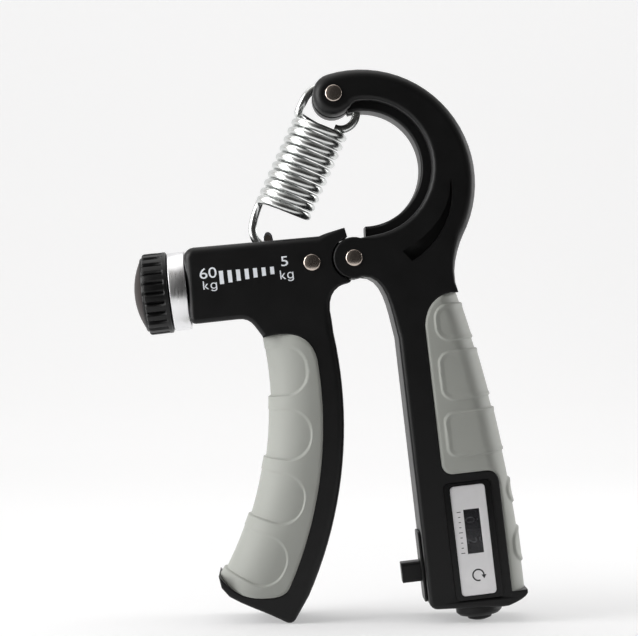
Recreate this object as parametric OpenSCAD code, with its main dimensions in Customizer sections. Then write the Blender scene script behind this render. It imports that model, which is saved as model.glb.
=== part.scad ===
// Adjustable hand grip strengthener with a squeeze counter.
//
// X runs from the tension knob to the counter handle, Y is the depth with the
// labelled side at -Y, and Z is up. The grip stands on the toe of its lever and on
// its reset knob. Most profiles are drawn in the XZ plane about the hinge: a point
// [x, z] there is turned into space by at_hinge(). The counter handle and the
// spring barrel each have a straight axis of their own, see in_handle() and in_barrel().

/* [Frame] */
// Depth of the frame and of the lever
body_depth = 22; // [20:0.5:24]
// Height of the hinge above the floor
hinge_height = 102.5; // [100:0.5:104]
// Distance of the hinge from the middle of the length
hinge_offset = 6.6; // [4:0.1:9]
// Outer radius of the ring
ring_r = 32.2; // [31.5:0.1:33]
// Thickness of the ring, without its inner lip
ring_band = 9.5; // [8.5:0.1:10.5]
// How far the lip stands in from the ring
lip_height = 2.8; // [2:0.1:3.4]
// Thickness of the lip along the depth
lip_depth = 12; // [9:0.5:14]
// Radius of the boss that holds the spring
anchor_boss_r = 5.8; // [5.4:0.1:6.2]
// Radius of the cheeks of the hinge
hinge_boss_r = 5.9; // [5.6:0.1:6.1]
// Rounding of the outer edges of the frame
frame_edge = 3; // [2:0.1:3.5]
// Depth of the crescent on each side of the neck
crescent_depth = 2.2; // [1:0.1:3.2]

/* [Counter handle] */
// Angle of the counter handle to the upright
handle_tilt = 6.7; // [6:0.1:7.4]
// Distance of the inner face of the handle from the hinge
handle_inner = 9.8; // [9.4:0.1:10.4]
// Width of the bare spine beside the grip
spine_w = 7.8; // [7.4:0.1:8.6]
// Width of the handle at its foot
handle_w = 27.9; // [27.4:0.1:28.6]
// How much narrower the handle is at the top of its grip
handle_taper = 9.6; // [9:0.1:10]
// Length from the hinge to the foot of the handle
handle_len = 101.4; // [101:0.1:101.8]
// Distance of the counter's axis from the hinge, across the handle
counter_x = 24; // [23.7:0.1:24.4]

/* [Lever] */
// Radius of the lever's inner side
lever_r = 118.8; // [118.2:0.1:119.4]
// Width of the lever's bare spine
lever_spine_w = 6; // [5.4:0.1:6.8]
// Radius of the outer side of the lever's grip
lever_outer_r = 98.4; // [97.8:0.1:98.8]
// Rounding of the lever's edges
lever_edge = 2.2; // [1.4:0.1:2.6]
// Running gap between the lever and the cheeks of the frame
hinge_gap = 0.35; // [0.25:0.05:0.5]
// Thickness of the tongue between the cheeks
tongue_w = 8; // [7:0.2:9]
// Travel of the lever from rest
squeeze_angle = 14.8; // [13:0.1:14.8]

/* [Soft grips] */
// Rounding of the outer side of the lever's grip
lever_grip_r = 7.5; // [6:0.5:8.5]
// Rounding of the outer side of the handle's grip
handle_grip_r = 6.2; // [5:0.2:7]
// How far the grips stand proud of the bare plastic
grip_proud = 0.3; // [0.1:0.1:0.3]
// How far the finger pads stand proud of the grips
pad_h = 0.5; // [0.3:0.1:0.6]
// Length of a finger pad on the lever
pad_len = 14.8; // [13:0.2:16]
// Distance from pad to pad on the lever
pad_pitch = 18.4; // [17:0.2:18.8]
// Rounding of the corners of the lever's pads
pad_corner = 7; // [4:0.5:7.3]

/* [Rivets] */
// Radius of the rivets' shanks
rivet_r = 1.6; // [1.4:0.05:1.8]
// Radius of the rivets' heads
rivet_head_r = 2.35; // [2.2:0.05:2.6]
// Height of the rivets' heads
rivet_head_h = 0.9; // [0.6:0.1:1.2]

/* [Barrel and tension screw] */
// Angle of the barrel to the level
barrel_tilt = 6.3; // [6:0.1:6.6]
// Height of the barrel above its screw
barrel_top = 11.7; // [11.4:0.1:12]
// Height of the barrel below its screw
barrel_bottom = 9.8; // [9.4:0.1:10.2]
// Radius of the screw
screw_r = 2.5; // [2.2:0.1:2.8]
// Lead of the screw, one turn of the knob
screw_lead = 2; // [1.5:0.25:2.5]
// Running clearance between turning parts
run_gap = 0.05; // [0.03:0.01:0.08]
// Length of the nut
nut_len = 10; // [8:0.5:11]
// Width and height of the nut's body
nut_w = 12; // [11:0.2:12.6]
// Gap between the nut and the barrel around it
slide_gap = 0.3; // [0.2:0.05:0.4]
// Distance of the hook pin from the barrel's end, as set
pin_x = 24.2; // [23.6:0.1:24.6]
// Height of the hook pin above the screw
pin_z = 12; // [11.8:0.1:12.3]
// Radius of the hook pin
pin_r = 1.1; // [0.9:0.05:1.2]
// Travel of the hook pin toward the knob
slide_out = 14; // [12:0.5:14]
// Travel of the hook pin toward the hinge
slide_in = 1.5; // [0.5:0.1:1.5]

/* [Tension knob] */
// Radius of the knob
knob_r = 11.6; // [11:0.1:12]
// Length of the knob's ribbed rim
knob_len = 7.6; // [7:0.1:8.2]
// Height of the domed cap
cap_h = 2.5; // [2:0.1:3]
// Number of grooves around the knob
groove_count = 24; // [16:1:30]
// Radius of the bright ring
band_r = 11.2; // [10.8:0.1:11.4]
// Length of the bright ring
band_len = 4.8; // [4.2:0.1:5.2]

/* [Spring] */
// Outer diameter of the coil
coil_d = 16.5; // [15.9:0.1:16.8]
// Diameter of the wire
wire_d = 2.3; // [2:0.1:2.4]
// Distance from turn to turn
coil_pitch = 3; // [2.9:0.05:3.1]
// Number of turns
coil_turns = 9; // [8:1:9]

/* [Counter] */
// Length of the counter's case
case_len = 33; // [32:0.5:34]
// Width of the counter's case
case_w = 13.3; // [12.8:0.1:13.8]
// Wall of the counter's case
case_wall = 0.8; // [0.6:0.1:1]
// Radius of the number wheels
wheel_r = 5.3; // [4.8:0.1:5.5]
// Width of a number wheel
wheel_w = 5.9; // [5.4:0.1:6]
// Width of the silver label
label_w = 9.9; // [9:0.1:10.2]
// Width of the window
window_w = 4.4; // [3.8:0.1:5]
// Side of the square button
button_w = 5.8; // [5.4:0.1:6.2]
// Length of the plate around the button
plate_len = 16; // [15:0.2:17]
// Width of the plate around the button
plate_w = 8; // [7.6:0.1:9]
// How far the button stands out of the handle
button_out = 6.4; // [6:0.1:6.4]
// Travel of the button
button_travel = 4; // [3:0.1:4.4]
// Radius of the reset knob
reset_r = 6.5; // [6.2:0.1:6.6]
// Gap between the reset knob and the foot of the handle
reset_gap = 0.3; // [0.2:0.1:0.6]
// Travel of the reset knob when it is pushed
reset_travel = 1.2; // [0.8:0.1:1.3]

/* [Hidden] */

// Colours
black = [0.09, 0.09, 0.1];
soft_grey = [0.66, 0.67, 0.64];
bright = [0.8, 0.8, 0.82];
brown = [0.2, 0.13, 0.11];
pale = [0.86, 0.87, 0.88];
brass = [0.75, 0.6, 0.32];

// Hinge and depths
hinge = [hinge_offset, hinge_height];
half = body_depth / 2;
grip_half = half + grip_proud;
grip_flat = 1.5;
grip_steps = 6;
seam_edge = 0.4;
joint_gap = 0.05;
pocket_gap = 0.1;
round_fn = 96;
ring_edge = 1.4;
cheek_edge = 0.6;
lug_w = 5;

// Ring and spring boss
ring_centre = [2.1, 21];
inner_centre = [2.8, 25.4];
inner_r = ring_r - ring_band - 3.5;
lip_r = inner_r - lip_height;
boss_angle = 107.4;
anchor = ring_centre + (ring_r - anchor_boss_r) * [cos(boss_angle), sin(boss_angle)];

// Counter handle, in its own frame: across from the hinge line and down from the hinge
spine_x = handle_inner + spine_w;
foot_x = handle_inner + handle_w;
bay_x = foot_x - 4.4;
foot_floor = 2.2;
case_end = handle_len - foot_floor;
case_start = case_end - case_len;
bay_top = case_start - 2.6;
grip_top = 13;
grip_foot = handle_len - 3.2;
core_half = 5;
core_gap = 0.1;

// Lever arcs
lever_centre = [-2.7 - lever_r, -47.6];
lever_outer_centre = [-23.6 - lever_outer_r, -40];
lever_spine_r = lever_r - lever_spine_w;
pad_edge_r = lever_spine_r - 3;
pad_turn = 180 / PI / (pad_edge_r - pad_corner / 2);
pad_first = 16.4;
socket_r = hinge_boss_r + hinge_gap;
tongue_half = tongue_w / 2;
heel_r = hinge_boss_r + 2.4;
heel_angle = 10;
heel_gap = 1.5;

// Barrel
barrel_end = [-46.9, -9];
cavity_half = nut_w / 2 + slide_gap;
hold = 0.3;
ear_w = 1.5;
ear_gap = wire_d / 2 + 0.45;
ear_out = ear_gap + ear_w;
slot_half = ear_out + slide_gap;
ear_len = 4;
neck_top = pin_z - pin_r - wire_d - 4 * hold;
tail_x = 35.7;
tail_z = 3.8;
block_start = pin_x + slide_in + nut_len / 2 + slide_gap;
journal_r = 1.5;
neck_r = 2;
bush_len = 4;
clip_at = bush_len + 0.15;
clip_t = 0.3;
clip_r = 3.8;
plug_w = 2 * (cavity_half - pocket_gap);
block_len = 7.5;
slot_start = pin_x - slide_out - ear_len / 2 - 0.6;
slot_end = pin_x + slide_in + ear_len / 2 + 0.6;

// Spring: from the hook pin to the anchor rivet
wire_r = wire_d / 2;
coil_r = (coil_d - wire_d) / 2;
pin = on_barrel(pin_x, pin_z);
pull = (anchor - pin) / norm(anchor - pin);
coil_start = 9.2;
hook_r = 5.8;
curl_rings = 8;
wire_sides = 6;

// Counter, along the handle
axis_y = -3.4;
case_front = -half - 0.4;
case_back = 6.4;
label_at = (case_start + case_end) / 2 - 0.1;
label_len = case_len - 2;
label_t = 0.3;
window_x = counter_x + 0.4;
window_at = label_at - 2.5;
window_len = 2 * wheel_w + 0.6;
shaft_r = 1;
shaft_start = case_start + 0.4;
axle_r = 0.5;
wheel_gap = 0.15;
ratchet_r = wheel_r - 0.7;
ratchet_w = 2.2;
pinion_r = 1.5;
pinion_teeth = 8;
pinion_y = axis_y + wheel_r + pinion_r + 0.2;
button_at = case_end - 8.5;
stem_r = 1.3;
stem_y = axis_y + ratchet_r + stem_r + 0.25;
spigot_r = 1;
flange_w = button_w + 3;
flange_t = 1.1;
flange_at = handle_inner + 0.1;
plate_t = 0.8;
pawl_end = spine_x + 3.1;
finger_at = window_at + wheel_w + 0.5;
small_wire = 0.4;
bracket_at = window_at + 3.2;
bracket_t = 1.6;
floor_t = 1.8;
stem_top = case_end - floor_t - 0.9;
reset_face = handle_len + 0.1;
bulkhead_at = button_at + stem_r + 0.3;
bulkhead_t = 1;
head_t = 3;
shaft_top = case_start + 0.6 + reset_travel;
washer_t = 0.3;
reset_stem_r = 2;

// ---- Outlines: points [x, z, edge], where edge is the rounding of the rim there ----

function unit(v) = v / norm(v);
function turned(v) = [-v.y, v.x];
function on_circle(c, r, a) = c + r * [cos(a), sin(a)];

// An arc in n steps
function arc(c, r, from, to, n, edge) =
    [for (i = [0:n]) let (p = on_circle(c, r, from + (to - from) * i / n)) [p.x, p.y, edge]];

// A smooth curve from a to d, leaving toward b and arriving from c
function curve(a, b, c, d, n, edge) =
    [for (i = [0:n]) let (t = i / n, u = 1 - t,
        p = u * u * u * a + 3 * u * u * t * b + 3 * u * t * t * c + t * t * t * d)
        [p.x, p.y, edge]];

// A corner at b between a and c, rounded to radius r in n steps
function corner(a, b, c, r, n, edge) =
    let (u = unit(a - b), v = unit(c - b), reach = r / tan(acos(u * v) / 2),
        m = b + unit(u + v) * norm([r, reach]),
        start = b + u * reach - m, end = b + v * reach - m,
        from = atan2(start.y, start.x), sweep = atan2(end.y, end.x) - from,
        step = sweep > 180 ? sweep - 360 : sweep < -180 ? sweep + 360 : sweep)
    arc(m, r, from, from + step, n, edge);

// The points with their edge running evenly from its first value to another
function fade(p, to) =
    [for (i = [0:len(p) - 1]) [p[i].x, p[i].y, p[0].z + (to - p[0].z) * i / (len(p) - 1)]];

// A closed outline from corners [x, z, radius]
function rounded(corners, n, edge) =
    let (k = len(corners), p = [for (q = corners) [q.x, q.y]])
    [for (i = [0:k - 1])
        each corner(p[(i + k - 1) % k], p[i], p[(i + 1) % k], corners[i].z, n, edge)];

// The outline without points that lie on each other
function tidy(p) =
    [for (i = [0:len(p) - 1])
        let (q = p[(i + len(p) - 1) % len(p)])
        if (norm([p[i].x - q.x, p[i].y - q.y]) > 0.04) p[i]];

function flat(p) = [for (q = p) [q.x, q.y]];

// Point i of a counter-clockwise outline, moved inward by d
function inset(p, i, d) =
    let (n = len(p), a = flat([p[(i + n - 1) % n]])[0], b = flat([p[i]])[0],
        c = flat([p[(i + 1) % n]])[0],
        m = turned(unit(b - a)) + turned(unit(c - b)))
    b + m * 2 * d / (m * m);

// Triangles that fill a counter-clockwise outline. ids lists the points still to be
// covered. Every other point is cut off in turn where its corner holds no other point.
function side_of(a, b, q) = (b.x - a.x) * (q.y - a.y) - (b.y - a.y) * (q.x - a.x);
function holds(a, b, c, q) = side_of(a, b, q) >= 0 && side_of(b, c, q) >= 0 && side_of(c, a, q) >= 0;
function is_ear(p, ids, k) =
    let (n = len(ids), i = ids[(k + n - 1) % n], j = ids[k], m = ids[(k + 1) % n])
    side_of(p[i], p[j], p[m]) > 1e-6
        && len([for (q = ids) if (q != i && q != j && q != m && holds(p[i], p[j], p[m], p[q])) q]) == 0;
function next_ear(p, ids, k, tries) =
    tries == 0 || is_ear(p, ids, k % len(ids)) ? k % len(ids) : next_ear(p, ids, k + 1, tries - 1);
function ears(p, ids, k = 0, found = []) =
    len(ids) < 3 ? found :
    let (n = len(ids), e = next_ear(p, ids, k, n))
    ears(p, [for (i = [0:n - 1]) if (i != e) ids[i]], e + 1,
        concat(found, [[ids[(e + n - 1) % n], ids[e], ids[(e + 1) % n]]]));

// Places on the counter handle and on the barrel, as points about the hinge
function on_handle(across, down) =
    [across * cos(handle_tilt) + down * sin(handle_tilt),
        across * sin(handle_tilt) - down * cos(handle_tilt)];
function on_barrel(x, z) =
    barrel_end + [x * cos(barrel_tilt) - z * sin(barrel_tilt),
        x * sin(barrel_tilt) + z * cos(barrel_tilt)];

// Outer side of the counter handle: a shallow bow that is widest at the foot
function handle_outer(down) =
    foot_x - handle_taper * pow(max(0, (grip_foot - 4 - down) / 81), 2);

// ---- Solids from outlines ----

module at_hinge() {
    translate([hinge.x, 0, hinge.y])
        children();
}

module in_handle() {
    at_hinge()
        rotate([0, -handle_tilt, 0])
            children();
}

module in_barrel() {
    at_hinge()
        translate([barrel_end.x, 0, barrel_end.y])
            rotate([0, -barrel_tilt, 0])
                children();
}

// A flat shape drawn in XZ, given its depth along Y
module slab(front, back) {
    translate([0, back, 0])
        rotate([90, 0, 0])
            linear_extrude(back - front)
                children();
}

// A round bar along Y
module pin_bar(r, front, back) {
    slab(front, back)
        circle(r = r, $fn = round_fn);
}

// A part of a disc or ring about the hinge axis
module sector(inner, r, from, to, depth) {
    rotate([90, 0, 0])
        rotate([0, 0, from])
            rotate_extrude(angle = to - from, $fn = round_fn)
                translate([inner, -depth])
                    square([r - inner, 2 * depth]);
}

// A plate with the given outline, its rims rounded as each point of the outline says. With
// flat, the roundings of the two sides run together up to a band of that half width.
module soft_plate(outline, depth, steps = 3, flat = -1) {
    loop = tidy(outline);
    n = len(loop);
    last = 2 * steps + 1;
    points = [for (k = [0:last])
        let (front = k <= steps, a = 90 * (front ? 1 - k / steps : (k - steps - 1) / steps))
        for (i = [0:n - 1])
            let (edge = loop[i].z, q = inset(loop, i, edge * (1 - cos(a))),
                y = depth - (flat < 0 ? edge : depth - flat) * (1 - sin(a)))
            [q.x, front ? -y : y, q.y]];
    sides = [for (k = [0:last - 1], i = [0:n - 1])
        let (j = (i + 1) % n, a = k * n, b = a + n)
        each [[a + i, a + j, b + j], [a + i, b + j, b + i]]];
    face = ears([for (i = [0:n - 1]) inset(loop, i, loop[i].z)], [for (i = [0:n - 1]) i]);
    front_face = [for (t = face) [t[2], t[1], t[0]]];
    back_face = [for (t = face) [for (i = t) last * n + i]];
    polyhedron(points, concat(sides, front_face, back_face), convexity = 8);
}

// Half of a dome's outline, from its rim at [rim, 0] to its top at [0, height]
function dome(rim, height, n) =
    let (r = (rim * rim + height * height) / (2 * height), a = asin(rim / r))
    [for (i = [0:n]) [r * sin(a * (1 - i / n)), r * cos(a * (1 - i / n)) - r + height]];

// A rivet along Y with a domed head on each side
module rivet(r, depth) {
    head = [for (p = dome(rivet_head_r, rivet_head_h, 5)) [p.x, p.y + depth]];
    rotate([90, 0, 0])
        rotate_extrude($fn = round_fn)
            polygon(concat([[r, -depth], [r, depth]], head,
                [for (i = [len(head) - 1:-1:0]) [head[i].x, -head[i].y]]));
}

// A round bar or profile along the barrel axis: points [along, radius]
module turned_on_barrel(profile) {
    rotate([0, 90, 0])
        rotate_extrude($fn = round_fn)
            polygon([for (p = profile) [p.y, p.x]]);
}

// The same along the handle: points [down, radius]
module turned_on_handle(profile) {
    translate([counter_x, axis_y, 0])
        rotate_extrude($fn = round_fn)
            polygon([for (p = profile) [p.y, -p.x]]);
}

// A tube of wire along a path in space, closed at its two ends
module wire(path, r) {
    n = len(path);
    tangents = [for (i = [0:n - 1]) unit(path[min(i + 1, n - 1)] - path[max(i - 1, 0)])];
    first = unit(cross(tangents[0], [0.3, 1, 0.2]));
    normals = [for (i = 0, v = first; i < n; i = i + 1,
        v = i < n ? unit(v - tangents[i] * (v * tangents[i])) : v) v];
    points = [for (i = [0:n - 1], k = [0:wire_sides - 1])
        let (a = 360 * k / wire_sides)
        path[i] + r * (cos(a) * normals[i] + sin(a) * cross(tangents[i], normals[i]))];
    sides = [for (i = [0:n - 2], k = [0:wire_sides - 1])
        let (j = (k + 1) % wire_sides, a = i * wire_sides, b = a + wire_sides)
        each [[a + k, b + k, b + j], [a + k, b + j, a + j]]];
    start_cap = [for (k = [1:wire_sides - 2]) [0, k, k + 1]];
    tail = (n - 1) * wire_sides;
    end_cap = [for (k = [1:wire_sides - 2]) [tail, tail + k + 1, tail + k]];
    polyhedron(points, concat(sides, start_cap, end_cap), convexity = 10);
}

// ---- Profiles ----

// The seam between the bare neck and the top of the handle's grip, going down
function frame_seam_top() =
    curve(neck_foot(), [24, -9.5], [20.4, -12.6], on_handle(spine_x, 21), 7, seam_edge);

function neck_foot() = on_handle(handle_outer(grip_top), grip_top);

// The seam around the counter's bay, going up from the foot of the grip
function frame_seam_bay() =
    let (foot = on_handle(bay_x, grip_foot), top = on_handle(bay_x, bay_top),
        inner = on_handle(spine_x, bay_top), up = on_handle(spine_x, 21))
    concat([[foot.x, foot.y, seam_edge]],
        corner(foot, top, inner, 3.4, 5, seam_edge),
        corner(top, inner, up, 3, 5, seam_edge));

function reversed(p) = [for (i = [len(p) - 1:-1:0]) p[i]];

function frame_outline() =
    let (neck = on_circle(ring_centre, ring_r, -27),
        heel = on_handle(foot_x, grip_foot), tip = on_handle(foot_x, grip_foot + 1),
        foot = on_handle(counter_x + 6.2, handle_len + 0.9),
        toe = on_handle(handle_inner, handle_len - 0.6), knee = on_handle(handle_inner, 24))
    concat(
        fade(curve(neck_foot(), [26.9, -4.2], [29.2, 2.8], neck, 6, seam_edge), frame_edge),
        arc(ring_centre, ring_r, -27, boss_angle, 26, frame_edge),
        fade(arc(anchor, anchor_boss_r, boss_angle, 318, 16, frame_edge), frame_edge - 1),
        fade(curve([-1.1, 42.6], [-0.6, 44.1], [0.6, inner_centre.y + inner_r],
            on_circle(inner_centre, inner_r, 84), 4, frame_edge - 1), ring_edge),
        arc(inner_centre, inner_r, 78, -82, 20, ring_edge),
        arc([0, 0], hinge_boss_r, 72, 278, 18, cheek_edge),
        fade(curve([2.4, -5.3], [8.9, -5], [10.2, -13.5], knee, 8, cheek_edge), 1.6),
        corner(knee, toe, foot, 2.2, 4, 1.2),
        [[foot.x, foot.y, 0.8]],
        curve(on_handle(counter_x + 8, handle_len + 0.8), on_handle(foot_x - 3, handle_len),
            on_handle(foot_x - 0.5, handle_len - 1), tip, 4, 0.6),
        [[heel.x, heel.y, 0.5]],
        frame_seam_bay(),
        reversed(frame_seam_top()));

// The outline that the handle's grip is cut to, open to the outer side
function frame_grip_trim() =
    let (seam = flat(frame_seam_top()), bay = reversed(flat(frame_seam_bay())))
    concat([seam[0] + 4 * unit(seam[0] - seam[1])], seam, bay,
        [for (i = [0:8]) let (down = grip_foot - (grip_foot - grip_top - 1) * i / 8)
            on_handle(handle_outer(down) + 4, down)]);

// A bar longer and wider than the handle's grip, grown by some height
function frame_grip_bar(grow) =
    concat(
        [for (i = [0:18]) let (down = grip_foot + 12 - (grip_foot + 12) * i / 18,
            p = on_handle(handle_outer(down) + grow, down))
            [p.x, p.y, handle_grip_r]],
        [for (down = [0, grip_foot + 12]) let (p = on_handle(spine_x - 5, down)) [p.x, p.y, 1]]);

// The thin core of the handle that the grip is moulded around
function frame_core(gap) =
    concat(
        [for (i = [0:8]) let (down = grip_foot + 0.6 + (grip_top + 6 - grip_foot) * i / 8)
            on_handle(handle_outer(down) - 2.6 + gap, down)],
        [on_handle(spine_x - 1, grip_top + 4), on_handle(spine_x - 1, bay_top + 2),
            on_handle(bay_x - 1, bay_top + 2), on_handle(bay_x - 1, grip_foot + 0.6)]);

// The seam between the barrel and the top of the lever's grip, going right and down
function lever_seam_top() =
    let (crook = on_circle([-33.3, -25.9], 8.5, 24), low = lever_spine_point(-28.5))
    concat([[crook.x, crook.y, seam_edge]],
        curve([-22.5, -21.7], [-18, -21], [-12.2, -21.2], low, 8, seam_edge));

// Point at height z on an arc about the lever's centre, or about that of its outer side
function lever_point(r, z) =
    [lever_centre.x + sqrt(r * r - pow(z - lever_centre.y, 2)), z];
function lever_spine_point(z) = lever_point(lever_spine_r, z);
function lever_outer_point(z) =
    [lever_outer_centre.x
        + sqrt(lever_outer_r * lever_outer_r - pow(z - lever_outer_centre.y, 2)), z];

// The lever's spine seam, going down, and the seam along its foot, going left
function lever_seam_side() =
    [for (i = [1:8]) let (p = lever_spine_point(-28.5 - (91.5 - 28.5) * i / 8))
        [p.x, p.y, seam_edge]];
function lever_seam_foot() =
    concat(
        curve(lever_spine_point(-92), [-18.6, -94.2], [-20.4, -95.2], [-23.5, -95.4], 4, seam_edge),
        curve([-26, -95.5], [-31, -95.5], toe() + [2.6, -4.1], toe() + [0, -0.9], 5, seam_edge));

// Where the outer side of the lever's grip meets the lip of its toe
function toe() = lever_outer_point(-89.5);

function lever_outline() =
    let (shoulder = on_barrel(0, barrel_top), chin = on_barrel(0, -barrel_bottom),
        ridge = on_barrel(38.4, barrel_top - 0.75), under = on_barrel(13, -barrel_bottom),
        low = lever_point(lever_r, -95.8), tip = low + [-4.4, -7.4])
    concat(
        [[toe().x - 1, -89.4, 0.5], [toe().x - 0.2, -92.6, 0.6]],
        curve(toe() + [2, -5.6], [-31.5, -97.3], [-25, -99.3], tip + [-3.3, 1.7], 4, 0.9),
        corner(tip + [-4.9, 2.5], tip, low, 2, 4, 1.2),
        [for (i = [0:20]) let (p = lever_point(lever_r, -95 + (95 - 21) * i / 20))
            [p.x, p.y, lever_edge]],
        fade(curve([-6.2, -17.5], [-8, -10.5], [-5.3, -7.7],
            on_circle([0, 0], socket_r + 0.7, 261), 7, lever_edge), 0.3),
        arc([0, 0], socket_r, 263, 108, 16, 0.3),
        [[-2.7, 8.5, 0.5], [-7.9, 6.9, 1.2], [ridge.x, ridge.y, lever_edge]],
        corner(ridge, shoulder, chin, 3, 5, lever_edge),
        corner(shoulder, chin, under, 1.6, 4, 1.4),
        curve(under, on_barrel(17, -barrel_bottom), [-28.4, -18.6],
            on_circle([-33.3, -25.9], 8.5, 27), 6, 1.4),
        lever_seam_top(),
        lever_seam_side(),
        lever_seam_foot());

// The outline that the lever's grip is cut to, open to the outer side
function lever_grip_trim() =
    let (top = flat(lever_seam_top()), foot = flat(lever_seam_foot()), n = len(foot))
    concat([top[0] + 4 * unit(top[0] - top[1])], top, flat(lever_seam_side()), foot,
        [foot[n - 1] + 2.6 * unit(foot[n - 1] - foot[n - 2])],
        [for (i = [0:8]) lever_outer_point(-86 + (86 - 27) * i / 8) - [4, 0]]);

// A bar longer and wider than the lever's grip, grown by some height
function lever_grip_bar(grow) =
    concat(
        [for (i = [0:18]) let (p = lever_outer_point(-8 - 100 * i / 18)) [p.x - grow, p.y, lever_grip_r]],
        [for (z = [-108, -8]) [lever_centre.x + lever_spine_r + 6, z, 1]]);

function lever_core(gap) =
    concat(
        [for (i = [0:8]) let (p = lever_outer_point(-27 - (87 - 27) * i / 8)) p + [3 - gap, 0]],
        [[-28, -96.2], [-21, -96.2]],
        [for (i = [0:8]) let (p = lever_spine_point(-91.5 + (91.5 - 26) * i / 8)) p + [1, 0]],
        [[-16, -20], [-22, -20]]);

// Outline of a finger pad on the lever, set out from the lever's centre
function lever_pad(i) =
    let (middle = (pad_first - pad_pitch * i) * pad_turn, swing = pad_len / 2 * pad_turn)
    flat(rounded([for (q = [[-1, 1], [-1, -1], [1, -1], [1, 1]])
        let (p = on_circle(lever_centre, q.x < 0 ? lever_outer_r - 8 : pad_edge_r, middle + q.y * swing))
        [p.x, p.y, q.x < 0 ? 0.5 : pad_corner]], 5, 0));

// Outline of a finger pad on the counter handle
function frame_pad(top, foot, left, radius) =
    flat(rounded([for (q = [[foot_x + 3, foot, 0.5], [foot_x + 3, top, 0.5], [left, top, radius],
        [left, foot, radius]]) let (p = on_handle(q.x, q.y)) [p.x, p.y, q.z]], 5, 0));

// ---- Frame and what it carries ----

module frame_arm() {
    spring_centre = anchor - pull * (coil_r - rivet_r - wire_r - hold);
    color(black)
        difference() {
            at_hinge() {
                soft_plate(frame_outline(), half);
                translate([inner_centre.x, 0, inner_centre.y])
                    rotate([90, 0, 0])
                        rotate([0, 0, -88])
                            rotate_extrude(angle = 88 + 105, $fn = round_fn)
                                polygon([[lip_r, -lip_depth / 2 + 0.7],
                                    [lip_r + 0.7, -lip_depth / 2],
                                    [inner_r + 1.6, -lip_depth / 2],
                                    [inner_r + 1.6, lip_depth / 2],
                                    [lip_r + 0.7, lip_depth / 2],
                                    [lip_r, lip_depth / 2 - 0.7]]);
                slab(-core_half, core_half)
                    polygon(frame_core(0));
                // Small lug on the outer side of the neck
                translate([neck_foot().x - 3.5, -lug_w / 2, -7.4])
                    cube([3, lug_w, 3.7]);
            }
            // Fork for the lever's tongue, with room for its heel to swing
            at_hinge() {
                pin_bar(hinge_boss_r + hinge_gap, -tongue_half - hinge_gap,
                    tongue_half + hinge_gap);
                sector(hinge_boss_r - 2, heel_r + hinge_gap, -heel_angle - heel_gap,
                    heel_angle + squeeze_angle + heel_gap, tongue_half + hinge_gap);
                pin_bar(rivet_r, -half - 1, half + 1);
            }
            // Fork and bore for the top loop of the spring
            at_hinge() {
                translate([spring_centre.x, 0, spring_centre.y])
                    pin_bar(coil_r + wire_r + 0.35, -wire_r - 0.45, wire_r + 0.45);
                translate([anchor.x, 0, anchor.y])
                    pin_bar(rivet_r, -half - 1, half + 1);
                for (side = [-1, 1])
                    slab(side > 0 ? half - crescent_depth : -half - 1,
                        side > 0 ? half + 1 : -half + crescent_depth)
                        polygon(crescent());
            }
            // Bay for the counter, and the way in for its button and reset stem
            in_handle() {
                translate([counter_x, 0, -case_start - case_len / 2])
                    slab(case_front - 1, case_back + pocket_gap)
                        offset(r = 1.2 + pocket_gap, $fn = 24)
                            square([case_w - 2.4, case_len - 2.4], center = true);
                turned_on_handle([[case_end - 1, 0], [case_end - 1, reset_stem_r + reset_gap],
                    [reset_face - reset_travel - reset_gap, reset_stem_r + reset_gap],
                    [reset_face - reset_travel - reset_gap, reset_r + reset_gap],
                    [handle_len + 3, reset_r + reset_gap], [handle_len + 3, 0]]);
                translate([handle_inner - 1, -flange_w / 2 - 0.3, -button_at - flange_w / 2 - 0.3])
                    cube([flange_t + button_travel + 1.4, flange_w + 0.6, flange_w + 0.6]);
                translate([handle_inner + 1, stem_y, -button_at])
                    rotate([0, 90, 0])
                        cylinder(r = stem_r + 1.2, h = spine_w, $fn = round_fn);
            }
        }
}

function crescent() =
    flat(concat(curve([16.4, -0.9], [24.5, 4], [28.6, 12.5], [27.3, 22.4], 8, 0),
        curve([27, 21], [27.2, 12.5], [20.5, 5.5], [13.6, 1.9], 7, 0)));

module frame_grip() {
    pads = [[15.7, 26.4, spine_x + 2.6, 4], [29, 43.1, spine_x + 2.3, 3.5],
        [46.2, 59, spine_x + 2.1, 2.6], [case_start - 0.8, case_start + 9, bay_x + 1.7, 4.7],
        [case_start + 13.7, case_start + 25.6, bay_x + 1.7, 4.9]];
    color(soft_grey)
        at_hinge()
            difference() {
                intersection() {
                    union() {
                        soft_plate(frame_grip_bar(0), grip_half, grip_steps, grip_flat);
                        for (p = pads)
                            intersection() {
                                soft_plate(frame_grip_bar(pad_h), grip_half + pad_h, grip_steps,
                                    grip_flat);
                                slab(-body_depth, body_depth)
                                    polygon(frame_pad(p[0], p[1], p[2], p[3]));
                            }
                    }
                    slab(-body_depth, body_depth)
                        polygon(frame_grip_trim());
                }
                slab(-core_half - core_gap, core_half + core_gap)
                    polygon(frame_core(core_gap));
            }
}

module hinge_rivet() {
    color(bright)
        at_hinge()
            rivet(rivet_r - joint_gap / 2, half);
}

module anchor_rivet() {
    color(bright)
        at_hinge()
            translate([anchor.x, 0, anchor.y])
                rivet(rivet_r - joint_gap / 2, half);
}

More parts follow.
